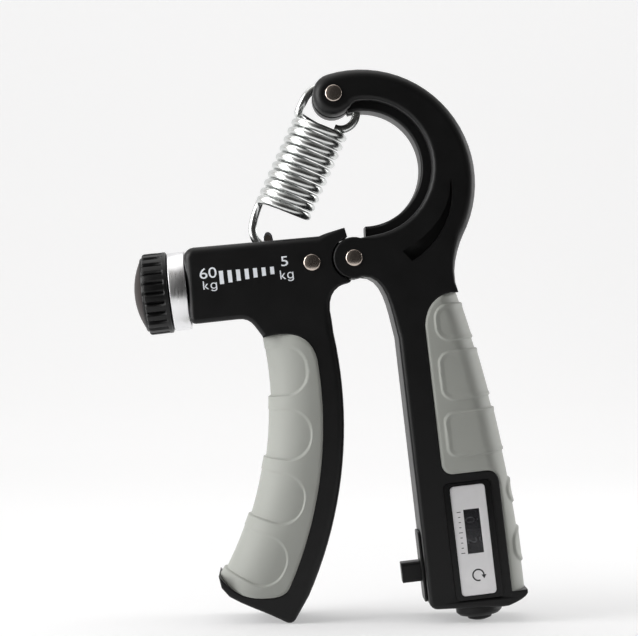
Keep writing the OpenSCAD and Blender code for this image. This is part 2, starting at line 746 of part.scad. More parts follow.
module counter_case() {
    inner_w = case_w - 2 * case_wall;
    color(black)
        in_handle()
            difference() {
                translate([counter_x, 0, -case_start - case_len / 2])
                    slab(case_front, case_back)
                        offset(r = 1.2, $fn = 24)
                            square([case_w - 2.4, case_len - 2.4], center = true);
                // Room for the wheels behind the front wall, with a bracket for the pinion's
                // axle and a bulkhead for the reset spring
                difference() {
                    translate([counter_x - inner_w / 2, case_front + 2, -case_end + floor_t])
                        cube([inner_w, case_back - case_wall - case_front - 2,
                            case_len - head_t - floor_t]);
                    translate([counter_x - 2, pinion_y - 0.9, -bracket_at - bracket_t])
                        cube([4, case_back, bracket_t]);
                    translate([counter_x - case_w, case_front, -bulkhead_at - bulkhead_t])
                        cube([2 * case_w, body_depth, bulkhead_t]);
                }
                // Seat of the label, and the window through the wall
                translate([counter_x, 0, -label_at])
                    slab(case_front - 1, case_front + label_t + 0.3)
                        offset(r = 1.2, $fn = 24)
                            square([label_w - 2.2, label_len - 2.2], center = true);
                translate([window_x, 0, -window_at])
                    slab(case_front, case_front + 3)
                        square([window_w + 0.1, window_len + 0.1], center = true);
                // Bearings of the shaft and the reset stem, seat of the axle, way of the pawl
                translate([counter_x, axis_y, -case_end])
                    cylinder(r = shaft_r + run_gap, h = case_end - shaft_start, $fn = round_fn);
                translate([counter_x, axis_y, -case_end - 1])
                    cylinder(r = reset_stem_r + run_gap, h = floor_t + 2, $fn = round_fn);
                translate([counter_x, pinion_y, -bracket_at - bracket_t - 1])
                    cylinder(r = axle_r, h = bracket_at + bracket_t + 1 - shaft_start,
                        $fn = round_fn);
                translate([counter_x - case_w, stem_y, -button_at])
                    rotate([0, 90, 0])
                        cylinder(r = stem_r + 0.3, h = case_w, $fn = round_fn);
            }
}

module counter_label() {
    color(pale)
        in_handle()
            difference() {
                translate([counter_x, 0, -label_at])
                    slab(case_front + 0.3, case_front + 0.3 + label_t)
                        offset(r = 1.1, $fn = 24)
                            square([label_w - 2.2, label_len - 2.2], center = true);
                translate([window_x, 0, -window_at])
                    slab(case_front - 1, case_front + 2)
                        square([window_w + 0.1, window_len + 0.1], center = true);
            }
}

module counter_window() {
    color([0.16, 0.17, 0.18])
        in_handle()
            translate([window_x, 0, -window_at])
                slab(case_front + 0.45, case_front + 1.6)
                    square([window_w, window_len], center = true);
}

// Turns with the reset knob, and the number wheels run on it
module counter_shaft() {
    color(bright)
        in_handle()
            turned_on_handle([[shaft_top, 0], [shaft_top, shaft_r],
                [case_end, shaft_r], [case_end, 0]]);
}

module pinion_axle() {
    color(bright)
        in_handle()
            translate([counter_x, pinion_y, -bracket_at - bracket_t])
                cylinder(r = axle_r - joint_gap / 2,
                    h = bracket_at + bracket_t - shaft_start - joint_gap, $fn = round_fn);
}

module button_plate() {
    color(black)
        in_handle()
            difference() {
                translate([handle_inner - plate_t - joint_gap, 0, -button_at + 1.4])
                    rotate([0, 90, 0])
                        linear_extrude(plate_t)
                            offset(r = 2, $fn = 24)
                                square([plate_len, plate_w], center = true);
                translate([handle_inner - 2, -button_w / 2 - 0.15, -button_at - button_w / 2 - 0.15])
                    cube([4, button_w + 0.3, button_w + 0.3]);
            }
}

// ---- Spring ----

function space(p, y = 0) = [p.x, y, p.y];

function coil_point(a, climb) =
    space(pin + pull * (coil_start + climb)) + coil_r
        * (cos(a) * [pull.y, 0, -pull.x] + sin(a) * [0, 1, 0]);

function bend(a, b, c, d, n) =
    [for (i = [1:n]) let (t = i / (n + 1), u = 1 - t)
        u * u * u * a + 3 * u * u * t * b + 3 * u * t * t * c + t * t * t * d];

// Hook around the pin, coil, and full loop around the anchor rivet, as one wire
function spring_path() =
    let (steps = coil_turns * curl_rings,
        hook_centre = pin + pull * (hook_r - pin_r - wire_r - hold),
        hook_from = 292, hook_to = 172,
        hook_end = space(on_circle(hook_centre, hook_r, hook_to)),
        coil = [for (i = [0:steps - 1]) coil_point(205 + 360 * i / curl_rings,
            coil_pitch * i / curl_rings + 0.4)],
        loop_centre = anchor - pull * (coil_r - rivet_r - wire_r - hold),
        tail_r = 3.6, loop_from = 150,
        loop_start = space(on_circle(loop_centre, coil_r, loop_from)),
        rise = unit(coil[steps - 1] - coil[steps - 2]))
    concat(
        [for (i = [0:6]) space(on_circle(hook_centre, hook_r, hook_from + (hook_to - hook_from) * i / 6))],
        bend(hook_end, hook_end + [0.6, 0, 4], coil[0] - [0, -1.2, 0] * 2, coil[0], 3),
        coil,
        bend(coil[steps - 1], coil[steps - 1] + rise * 2, loop_start - [1, 0, 2], loop_start, 3),
        [for (i = [0:6]) space(on_circle(loop_centre, coil_r, loop_from * (1 - i / 6)))],
        [for (i = [1:4]) space(on_circle(loop_centre + [coil_r - tail_r, 0], tail_r, -100 * i / 4))]);

module main_spring() {
    color(bright)
        at_hinge()
            wire(spring_path(), wire_r);
}

// Least distance between parts of the wire that are more than half a turn apart
spring_points = spring_path();
spring_near = curl_rings / 2;
spring_clear = min([for (i = [0:len(spring_points) - 1], j = [i + spring_near:1:len(spring_points) - 1])
    norm(spring_points[i] - spring_points[j])]) - wire_d;
echo(str("least gap of the spring to itself, mm: ", spring_clear));

// ---- Lever and what it carries ----

module lever_arm() {
    color(black)
        difference() {
            at_hinge() {
                soft_plate(lever_outline(), half);
                slab(-core_half, core_half)
                    polygon(lever_core(0));
                // Tongue between the cheeks, with the heel that stops the lever
                pin_bar(hinge_boss_r, -tongue_half, tongue_half);
                slab(-tongue_half, tongue_half)
                    polygon([[0, -4.6], [0, 4.6], [-9, 4.6], [-9, -4.6]]);
                sector(0, heel_r, -heel_angle, heel_angle, tongue_half);
            }
            at_hinge()
                pin_bar(rivet_r + run_gap, -half - 1, half + 1);
            // Way of the nut, its slot, and the hole of the tail rivet
            in_barrel() {
                translate([-1, -cavity_half, -cavity_half])
                    cube([block_start + block_len + 1.2, 2 * cavity_half, 2 * cavity_half]);
                translate([slot_start, -slot_half, 0])
                    cube([slot_end - slot_start, 2 * slot_half, barrel_top + 2]);
                translate([tail_x, 0, tail_z])
                    pin_bar(rivet_r, -half - 1, half + 1);
            }
        }
}

module lever_grip() {
    color(soft_grey)
        at_hinge()
            difference() {
                intersection() {
                    union() {
                        soft_plate(lever_grip_bar(0), grip_half, grip_steps, grip_flat);
                        for (i = [0:3])
                            intersection() {
                                soft_plate(lever_grip_bar(pad_h), grip_half + pad_h, grip_steps,
                                    grip_flat);
                                slab(-body_depth, body_depth)
                                    polygon(lever_pad(i));
                            }
                    }
                    slab(-body_depth, body_depth)
                        polygon(lever_grip_trim());
                }
                slab(-core_half - core_gap, core_half + core_gap)
                    polygon(lever_core(core_gap));
            }
}

module tail_rivet() {
    color(bright)
        in_barrel()
            translate([tail_x, 0, tail_z])
                rivet(rivet_r - joint_gap / 2, half);
}

module tail_block() {
    color(black)
        in_barrel()
            difference() {
                translate([block_start, -plug_w / 2, -plug_w / 2])
                    cube([block_len, plug_w, plug_w]);
                translate([block_start - 1, 0, 0])
                    rotate([0, 90, 0])
                        cylinder(r = journal_r + run_gap, h = block_len, $fn = round_fn);
                translate([tail_x, 0, tail_z])
                    pin_bar(rivet_r, -half, half);
            }
}

module end_bush() {
    color(black)
        in_barrel()
            difference() {
                union() {
                    turned_on_barrel([[-band_len - 0.25, 0], [-band_len - 0.25, band_r - 2.3],
                        [-0.05, band_r - 2.3], [-0.05, 0]]);
                    translate([-0.1, -plug_w / 2, -plug_w / 2])
                        cube([bush_len + 0.1, plug_w, plug_w]);
                }
                translate([-band_len - 1, 0, 0])
                    rotate([0, 90, 0])
                        cylinder(r = neck_r + run_gap, h = band_len + bush_len + 2,
                            $fn = round_fn);
            }
}

module barrel_ring() {
    color(bright)
        in_barrel()
            turned_on_barrel([[-band_len - 0.1, band_r - 2.25], [-band_len - 0.1, band_r - 0.3],
                [-band_len + 0.2, band_r], [-0.4, band_r], [-0.1, band_r - 0.3],
                [-0.1, band_r - 2.25]]);
}

// ---- Tension screw ----

// The knob sits before the ring, and its cap before that
knob_face = -band_len - 0.45;
knob_front = knob_face - knob_len;

module adjuster_knob() {
    color(black)
        in_barrel()
            difference() {
                turned_on_barrel([[knob_face, 0], [knob_face, knob_r - 0.7],
                    [knob_face - 1, knob_r - 0.7], [knob_face - 1, knob_r],
                    [knob_front + 1.4, knob_r], [knob_front + 0.4, knob_r - 0.6],
                    [knob_front, knob_r - 1.5], [knob_front, 0]]);
                for (i = [0:groove_count - 1])
                    rotate([360 * i / groove_count, 0, 0])
                        translate([knob_front - 1, 0, knob_r + 0.25])
                            rotate([0, 90, 0])
                                cylinder(r = 0.6, h = knob_len - 0.2, $fn = 24);
                translate([knob_front - 1, 0, 0])
                    rotate([0, 90, 0])
                        cylinder(r = neck_r + joint_gap / 2, h = knob_len + 2, $fn = round_fn);
            }
}

module knob_cap() {
    color(brown)
        in_barrel()
            turned_on_barrel(concat([[knob_front - joint_gap, 0]],
                [for (p = dome(knob_r - 1.6, cap_h, 8)) [knob_front - joint_gap - p.y, p.x]]));
}

module lead_screw() {
    thread_start = bush_len + 1.4;
    thread_end = block_start - 0.3;
    ridges = floor((thread_end - thread_start) / screw_lead);
    color(bright)
        in_barrel()
            turned_on_barrel(concat(
                [[knob_front + 0.6, 0], [knob_front + 0.6, neck_r], [bush_len + 0.5, neck_r]],
                [[bush_len + 0.5, screw_r - 0.4]],
                [for (i = [0:ridges - 1]) let (x = thread_start + i * screw_lead)
                    each [[x, screw_r - 0.4], [x + 0.3 * screw_lead, screw_r],
                        [x + 0.6 * screw_lead, screw_r], [x + 0.9 * screw_lead, screw_r - 0.4]]],
                [[thread_end, screw_r - 0.4], [thread_end, journal_r],
                    [block_start + block_len - 1.3, journal_r],
                    [block_start + block_len - 1.3, 0]]));
}

module retaining_clip() {
    color(bright)
        in_barrel()
            turned_on_barrel([[clip_at, neck_r + joint_gap / 2], [clip_at, clip_r],
                [clip_at + clip_t, clip_r], [clip_at + clip_t, neck_r + joint_gap / 2]]);
}

module carriage_nut() {
    color(brass)
        in_barrel()
            difference() {
                translate([pin_x, 0, 0]) {
                    translate([-nut_len / 2, -nut_w / 2, -nut_w / 2])
                        cube([nut_len, nut_w, nut_w]);
                    translate([-ear_len / 2, -ear_out, 0])
                        cube([ear_len, 2 * ear_out, neck_top]);
                    for (side = [-1, 1])
                        slab(side > 0 ? ear_gap : -ear_out, side > 0 ? ear_out : -ear_gap) {
                            translate([-ear_len / 2, nut_w / 2 - 1])
                                square([ear_len, pin_z - nut_w / 2 + 1]);
                            translate([0, pin_z])
                                circle(r = ear_len / 2, $fn = round_fn);
                        }
                }
                translate([pin_x - nut_len, 0, 0])
                    rotate([0, 90, 0])
                        cylinder(r = screw_r + run_gap, h = 2 * nut_len, $fn = round_fn);
                translate([pin_x, 0, pin_z])
                    pin_bar(pin_r + joint_gap / 2, -half, half);
            }
}

module hook_pin() {
    color(bright)
        in_barrel()
            translate([pin_x, 0, pin_z])
                pin_bar(pin_r, -ear_out, ear_out);
}

// ---- Counter: button, reset knob and wheels ----

module counter_button() {
    out = handle_inner - button_out;
    color(black)
        in_handle()
            translate([0, 0, -button_at])
                difference() {
                    rotate([0, 90, 0]) {
                        translate([0, 0, out])
                            linear_extrude(button_out + 0.5)
                                offset(r = 1, $fn = 24)
                                    square(button_w - 2, center = true);
                        // Flange that keeps the button behind its plate
                        translate([0, 0, flange_at])
                            linear_extrude(flange_t)
                                square(flange_w, center = true);
                    }
                    translate([flange_at + 0.3, stem_y, 0])
                        rotate([0, 90, 0])
                            cylinder(r = spigot_r, h = flange_t, $fn = round_fn);
                }
}

module drive_pawl() {
    color(brass)
        in_handle()
            translate([0, stem_y, -button_at]) {
                translate([flange_at + 0.3 + joint_gap, 0, 0])
                    rotate([0, 90, 0])
                        cylinder(r = spigot_r - joint_gap / 2, h = flange_t, $fn = round_fn);
                translate([flange_at + flange_t + joint_gap, 0, 0])
                    rotate([0, 90, 0])
                        cylinder(r = stem_r, h = pawl_end - flange_at - flange_t - joint_gap,
                            $fn = round_fn);
                // Finger that reaches up to the ratchet
                translate([pawl_end - 1.6, 0, 0])
                    rotate([0, 90, 0])
                        linear_extrude(1.6)
                            polygon([[0, -0.8], [-button_at + finger_at, -0.8],
                                [-button_at + finger_at, 0.5], [0, 0.8]]);
            }
}

function small_coil(r, pitch, turns) =
    [for (i = [0:turns * curl_rings]) let (a = 360 * i / curl_rings)
        [r * cos(a), r * sin(a), pitch * i / curl_rings]];

module button_spring() {
    color(bright)
        in_handle()
            translate([flange_at + flange_t + 0.3, stem_y, -button_at])
                rotate([0, 90, 0])
                    wire(small_coil(stem_r + 0.6, 0.9, 2), small_wire / 2);
}

module reset_knob() {
    socket_r = shaft_r + joint_gap / 2;
    color(black)
        in_handle()
            turned_on_handle([[case_end + joint_gap, 0], [case_end + joint_gap, socket_r],
                [stem_top, socket_r], [stem_top, reset_stem_r + 0.5],
                [stem_top + 0.6, reset_stem_r + 0.5], [stem_top + 0.6, reset_stem_r],
                [reset_face, reset_stem_r], [reset_face, reset_r], [reset_face + 2, reset_r],
                [reset_face + 2.9, reset_r - 1], [reset_face + 3.1, reset_r - 2.8],
                [reset_face + 4, reset_r - 3.2], [reset_face + 4.5, reset_r - 4.7],
                [reset_face + 4.6, 0]]);
}

// Lies on the flange of the reset knob's stem and carries the spring that brings it back
module reset_washer() {
    color(bright)
        in_handle()
            turned_on_handle([[stem_top - joint_gap - washer_t, shaft_r + 0.15],
                [stem_top - joint_gap - washer_t, reset_stem_r + 0.6],
                [stem_top - joint_gap, reset_stem_r + 0.6],
                [stem_top - joint_gap, shaft_r + 0.15]]);
}

module reset_spring() {
    color(bright)
        in_handle()
            translate([counter_x, axis_y, -stem_top + washer_t + small_wire / 2 + 2 * joint_gap])
                wire(small_coil(reset_stem_r, 0.5, 2), small_wire / 2);
}

module number_wheel(start) {
    turned_on_handle([[start, shaft_r + run_gap], [start, 2.4], [start + 1, 2.4],
        [start + 1, wheel_r - 1], [start, wheel_r - 1], [start, wheel_r],
        [start + wheel_w - wheel_gap, wheel_r],
        [start + wheel_w - wheel_gap, shaft_r + run_gap]]);
}

units_start = window_at + wheel_gap / 2;

module units_wheel() {
    color(pale)
        in_handle() {
            number_wheel(units_start);
            translate([counter_x, axis_y, -units_start - wheel_w + wheel_gap - ratchet_w])
                linear_extrude(ratchet_w + 0.05)
                    difference() {
                        polygon([for (i = [0:9]) each [
                            (ratchet_r) * [cos(36 * i), sin(36 * i)],
                            (ratchet_r - 1.1) * [cos(36 * i + 4), sin(36 * i + 4)]]]);
                        circle(r = shaft_r + run_gap, $fn = round_fn);
                    }
        }
}

module tens_wheel() {
    color(pale)
        in_handle()
            number_wheel(window_at - wheel_w + wheel_gap / 2);
}

module carry_pinion() {
    color(brass)
        in_handle()
            translate([counter_x, pinion_y, -window_at - 2])
                linear_extrude(4)
                    difference() {
                        polygon([for (i = [0:pinion_teeth - 1], k = [0:3])
                            let (a = 360 * (i + [0, 0.25, 0.5, 0.75][k]) / pinion_teeth,
                                r = k < 2 ? pinion_r : pinion_r - 0.5)
                            r * [cos(a), sin(a)]]);
                        circle(r = axle_r + run_gap, $fn = round_fn);
                    }
}

frame_arm();
frame_grip();
hinge_rivet();
anchor_rivet();
main_spring();
counter_case();
counter_label();
counter_window();
counter_shaft();
pinion_axle();
button_plate();
lever_arm();
lever_grip();
tail_rivet();
tail_block();
end_bush();
barrel_ring();
adjuster_knob();
knob_cap();
lead_screw();
retaining_clip();
carriage_nut();
hook_pin();
counter_button();
drive_pawl();
button_spring();
reset_knob();
reset_washer();
reset_spring();
units_wheel();
tens_wheel();
carry_pinion();
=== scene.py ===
"""Looks of an adjustable hand grip strengthener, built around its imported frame."""

import math

import bmesh
import bpy
from bpy.props import FloatProperty, FloatVectorProperty, IntProperty, PointerProperty
from mathutils import Matrix, Vector


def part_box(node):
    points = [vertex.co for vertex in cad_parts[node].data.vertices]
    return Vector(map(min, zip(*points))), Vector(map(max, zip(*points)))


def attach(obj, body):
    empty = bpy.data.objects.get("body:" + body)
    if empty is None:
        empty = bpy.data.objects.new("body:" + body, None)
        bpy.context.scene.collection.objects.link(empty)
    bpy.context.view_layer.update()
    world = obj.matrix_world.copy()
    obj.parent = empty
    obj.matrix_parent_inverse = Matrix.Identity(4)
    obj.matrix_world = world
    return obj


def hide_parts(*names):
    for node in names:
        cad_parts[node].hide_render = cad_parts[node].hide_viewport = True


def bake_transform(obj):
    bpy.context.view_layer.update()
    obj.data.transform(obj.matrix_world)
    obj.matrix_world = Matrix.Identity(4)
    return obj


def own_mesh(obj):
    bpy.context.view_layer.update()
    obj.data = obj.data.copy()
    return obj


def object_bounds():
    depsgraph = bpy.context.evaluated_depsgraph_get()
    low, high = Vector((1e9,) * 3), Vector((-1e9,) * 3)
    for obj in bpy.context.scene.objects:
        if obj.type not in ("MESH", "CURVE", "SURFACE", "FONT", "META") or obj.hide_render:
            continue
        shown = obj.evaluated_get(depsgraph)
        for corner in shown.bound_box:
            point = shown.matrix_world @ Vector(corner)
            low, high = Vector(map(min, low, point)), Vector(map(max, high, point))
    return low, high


bl_info = {
    "name": "Hand grip strengthener",
    "version": (1, 0, 0),
    "blender": (4, 5, 0),
    "location": "View3D > Sidebar > Hand grip",
    "description": "Dresses the packed hand grip: arms, soft grips, spring, counter and stage",
    "category": "Object",
}

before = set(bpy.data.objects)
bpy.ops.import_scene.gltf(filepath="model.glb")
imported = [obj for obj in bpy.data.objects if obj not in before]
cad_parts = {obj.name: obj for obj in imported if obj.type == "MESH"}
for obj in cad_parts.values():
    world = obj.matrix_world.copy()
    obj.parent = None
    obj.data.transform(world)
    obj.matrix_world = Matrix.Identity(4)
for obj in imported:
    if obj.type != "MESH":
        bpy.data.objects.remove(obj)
cad_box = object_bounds()

MM = 0.001

# The frame's measures, in millimetres and degrees. Places in a plane are (x, z) about the hinge,
# but HOOK_PIN is (along, up) in the barrel and WHEEL_AXIS is (across, deep) in the handle.
HINGE = Vector((6.6, 0.0, 102.5))
HANDLE_TILT = 6.7
BARREL_TILT = 6.3
BARREL_END = Vector((-46.9, 0.0, -9.0))
LEVER_CENTRE = Vector((-121.5, -47.6))
LEVER_OUTER_CENTRE = Vector((-122.0, -40.0))
LEVER_OUTER_R = 98.4
LEVER_SPINE_R = 112.8
ANCHOR = Vector((-5.795, 46.19))
HOOK_PIN = Vector((24.2, 12.0))
TAIL_RIVET = (35.7, 3.8)
WHEEL_AXIS = (24, -3.4)
HANDLE_WIDTH, HANDLE_TAPER = 37.7, 9.6
HANDLE_WIDEST_AT, HANDLE_TAPER_LENGTH = 94.2, 81
SPINE_EDGE, BAY_EDGE = 17.6, 33.3
NECK_AT, GRIP_TOP_AT, BAY_AT, GRIP_FOOT_AT = 13, 21, 63.6, 98.2
BODY_HALF = 11.0

# The soft grips: their flat middle, the cutters' half depth, the groove along a seam
GRIP_FLAT = 1.5
GRIP_FALL = 0.5
CUTTER_HALF = 13
GROOVE_DEPTH, GROOVE_WIDTH = 0.35, 0.8

# Places in millimetres: about the hinge, along the counter handle, along the barrel
AT_HINGE = Matrix.Translation(HINGE)
IN_HANDLE = AT_HINGE @ Matrix.Rotation(math.radians(-HANDLE_TILT), 4, "Y")
IN_BARREL = (
    AT_HINGE
    @ Matrix.Translation(BARREL_END)
    @ Matrix.Rotation(math.radians(-BARREL_TILT), 4, "Y")
)
ALONG_X = Matrix.Rotation(math.radians(90), 4, "Y")
ALONG_Y = Matrix.Rotation(math.radians(-90), 4, "X")
TO_METRES = Matrix.Scale(MM, 4)


# ---- Profiles shared with the frame ----


def on_handle(across, down):
    """A place in the counter handle, as (x, z) about the hinge."""
    p = IN_HANDLE @ Vector((across, 0, -down)) - HINGE
    return Vector((p.x, p.z))


def on_barrel(along, up):
    """A place in the barrel, as (x, z) about the hinge."""
    p = IN_BARREL @ Vector((along, 0, up)) - HINGE
    return Vector((p.x, p.z))


def handle_outer(down):
    """How far across the outer side of the counter handle is."""
    up = max(0.0, (HANDLE_WIDEST_AT - down) / HANDLE_TAPER_LENGTH)
    return HANDLE_WIDTH - HANDLE_TAPER * up**2


def lever_point(radius, z):
    """A point at a height on a circle about the lever's centre."""
    return Vector((LEVER_CENTRE.x + math.sqrt(radius**2 - (z - LEVER_CENTRE.y) ** 2), z))


def lever_outer_point(z):
    """A point at a height on the lever's outer side."""
    c = LEVER_OUTER_CENTRE
    return Vector((c.x + math.sqrt(LEVER_OUTER_R**2 - (z - c.y) ** 2), z))


def on_circle(centre, radius, degrees):
    a = math.radians(degrees)
    return centre + radius * Vector((math.cos(a), math.sin(a)))


def bezier(a, b, c, d, steps):
    """Points along a cubic curve from a to d."""
    points = []
    for i in range(steps + 1):
        t = i / steps
        u = 1 - t
        points.append(u**3 * a + 3 * u * u * t * b + 3 * u * t * t * c + t**3 * d)
    return points


def corner(a, b, c, radius, steps):
    """A rounded corner at b between a and c."""
    u, v = (a - b).normalized(), (c - b).normalized()
    half = math.acos(max(-1, min(1, u.dot(v)))) / 2
    reach = radius / math.tan(half)
    centre = b + (u + v).normalized() * math.hypot(radius, reach)
    start, end = b + u * reach - centre, b + v * reach - centre
    first = math.degrees(math.atan2(start.y, start.x))
    sweep = math.degrees(math.atan2(end.y, end.x)) - first
    sweep = (sweep + 180) % 360 - 180
    return [on_circle(centre, radius, first + sweep * i / steps) for i in range(steps + 1)]


def flat(*places):
    return [Vector(place) for place in places]


def lever_grip_seams():
    """Where the lever's grip meets the black moulding, from the crook down to the toe."""
    spine_top, spine_length, spine_steps, spine_foot = -28.5, 63.0, 24, -92
    crook = on_circle(Vector((-33.3, -25.9)), 8.5, 24)
    a, b, c = flat((-22.5, -21.7), (-18, -21), (-12.2, -21.2))
    top = [crook] + bezier(a, b, c, lever_point(LEVER_SPINE_R, spine_top), 14)
    side = [
        lever_point(LEVER_SPINE_R, spine_top - spine_length * i / spine_steps)
        for i in range(1, spine_steps + 1)
    ]
    b, c, d = flat((-18.6, -94.2), (-20.4, -95.2), (-23.5, -95.4))
    heel = bezier(lever_point(LEVER_SPINE_R, spine_foot), b, c, d, 6)
    toe = bezier(*flat((-26, -95.5), (-31, -95.5), (-34.4, -93.6), (-37, -90.4)), 8)
    return top + side + heel + toe


def frame_grip_seams():
    """Where the handle's grip meets the black moulding, from the neck round the counter's bay."""
    neck = on_handle(handle_outer(NECK_AT), NECK_AT)
    up = on_handle(SPINE_EDGE, GRIP_TOP_AT)
    inner, upper = on_handle(SPINE_EDGE, BAY_AT), on_handle(BAY_EDGE, BAY_AT)
    foot = on_handle(BAY_EDGE, GRIP_FOOT_AT)
    top = bezier(neck, *flat((24, -9.5), (20.4, -12.6)), up, 14)
    return top + corner(up, inner, upper, 3, 8) + corner(inner, upper, foot, 3.4, 8) + [foot]


def step_in(x):
    """Smooth step from 0 to 1."""
    x = max(0.0, min(1.0, x))
    return x * x * (3 - 2 * x)


# ---- Mesh building ----


def link(name, data):
    """A new object in the scene."""
    obj = bpy.data.objects.new(name, data)
    bpy.context.scene.collection.objects.link(obj)
    return obj


def save(name, bm, body, look, nodes=(), angle=35.0, even=False):
    """Puts a finished bmesh, in metres, into the scene as a piece that rides on a body."""
    mesh = bpy.data.meshes.new(name)
    bm.to_mesh(mesh)
    bm.free()
    mesh.shade_smooth()
    mesh.set_sharp_from_angle(angle=math.radians(angle))
    mesh.materials.append(look.material)
    obj = link(name, mesh)
    if even:
        shading = obj.modifiers.new("even_shading", "WEIGHTED_NORMAL")
        shading.keep_sharp = True
        shading.weight = 80
    if nodes:
        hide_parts(*nodes)
    if body:
        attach(obj, body)
    return obj


def tidy(bm, distance=0.0005):
    """Merges points that lie on each other and turns the faces outward."""
    bmesh.ops.remove_doubles(bm, verts=bm.verts, dist=distance)
    bmesh.ops.recalc_face_normals(bm, faces=bm.faces)


def soften(bm, width, segments, angle):
    """Bevels the edges that are sharper than an angle."""
    sharp = math.radians(angle)
    edges = [e for e in bm.edges if len(e.link_faces) == 2 and e.calc_face_angle(0.0) > sharp]
    bmesh.ops.bevel(
        bm, geom=edges, offset=width, offset_type="OFFSET", affect="EDGES", segments=segments,
        profile=0.5, clamp_overlap=True, material=-1,
    )


def turned(profile, steps, place, edge=0.0):
    """A turned piece: its profile, points (radius, height), spun about Z and put in its place."""
    bm = bmesh.new()
    verts = [bm.verts.new((r, 0, h)) for r, h in profile]
    edges = [bm.edges.new(pair) for pair in zip(verts, verts[1:])]
    if profile[0][0] > 0:
        edges.append(bm.edges.new((verts[-1], verts[0])))
    bmesh.ops.spin(
        bm, geom=verts + edges, cent=(0, 0, 0), axis=(0, 0, 1), dvec=(0, 0, 0), angle=math.tau,
        steps=steps, use_merge=True, use_normal_flip=False, use_duplicate=False,
    )
    tidy(bm)
    if edge:
        soften(bm, edge, 3, 35)
    bmesh.ops.transform(bm, matrix=TO_METRES @ place, verts=bm.verts)
    return bm


def prism(outline, low, high):
    """A flat outline in XZ, in millimetres about the hinge, given its depth along Y."""
    bm = bmesh.new()
    verts = [bm.verts.new((HINGE.x + p.x, low, HINGE.z + p.y)) for p in outline]
    face = bm.faces.new(verts)
    grown = bmesh.ops.extrude_face_region(bm, geom=[face])["geom"]
    top = [v for v in grown if isinstance(v, bmesh.types.BMVert)]
    bmesh.ops.translate(bm, vec=(0, high - low, 0), verts=top)
    bmesh.ops.recalc_face_normals(bm, faces=bm.faces)
    return bm


def cad_copy(node):
    """The node's own solid as one welded mesh whose flat sides are single faces."""
    bm = bmesh.new()
    bm.from_mesh(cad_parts[node].data)
    bmesh.ops.remove_doubles(bm, verts=bm.verts, dist=2e-6)
    bmesh.ops.dissolve_limit(
        bm, angle_limit=math.radians(0.4), use_dissolve_boundaries=False, verts=bm.verts,
        edges=bm.edges,
    )
    return bm


def cut_to(bm, cutter):
    """What both meshes, in millimetres, have in common, as a mesh in metres."""
    pair = []
    for part in (bm, cutter):
        mesh = bpy.data.meshes.new("blank")
        part.to_mesh(mesh)
        part.free()
        pair.append(link("blank", mesh))
    cut = pair[0].modifiers.new("cut", "BOOLEAN")
    cut.operation = "INTERSECT"
    cut.solver = "EXACT"
    cut.object = pair[1]
    bpy.context.view_layer.update()
    seen = pair[0].evaluated_get(bpy.context.evaluated_depsgraph_get())
    result = bmesh.new()
    result.from_mesh(seen.to_mesh())
    seen.to_mesh_clear()
    for obj in pair:
        mesh = obj.data
        bpy.data.objects.remove(obj)
        bpy.data.meshes.remove(mesh)
    bmesh.ops.scale(result, vec=(MM, MM, MM), verts=result.verts)
    return result


def mesh_of(curve, merge):
    """The mesh of a curve or of lettering, as a bmesh. The curve itself goes."""
    source = link(curve.name, curve)
    bpy.context.view_layer.update()
    seen = source.evaluated_get(bpy.context.evaluated_depsgraph_get())
    mesh = bpy.data.meshes.new_from_object(seen)
    bpy.data.objects.remove(source)
    bpy.data.curves.remove(curve)
    bm = bmesh.new()
    bm.from_mesh(mesh)
    bpy.data.meshes.remove(mesh)
    tidy(bm, merge)
    return bm


# ---- Finishes ----


class Value:
    """An output socket that takes part in Python arithmetic."""

    def __init__(self, finish, socket):
        self.finish, self.socket = finish, socket

    def _math(self, operation, other):
        values = {0: self, 1: other}
        return self.finish.node("ShaderNodeMath", {"operation": operation}, values)

    def __add__(self, other):
        return self._math("ADD", other)

    __radd__ = __add__

    def __mul__(self, other):
        return self._math("MULTIPLY", other)


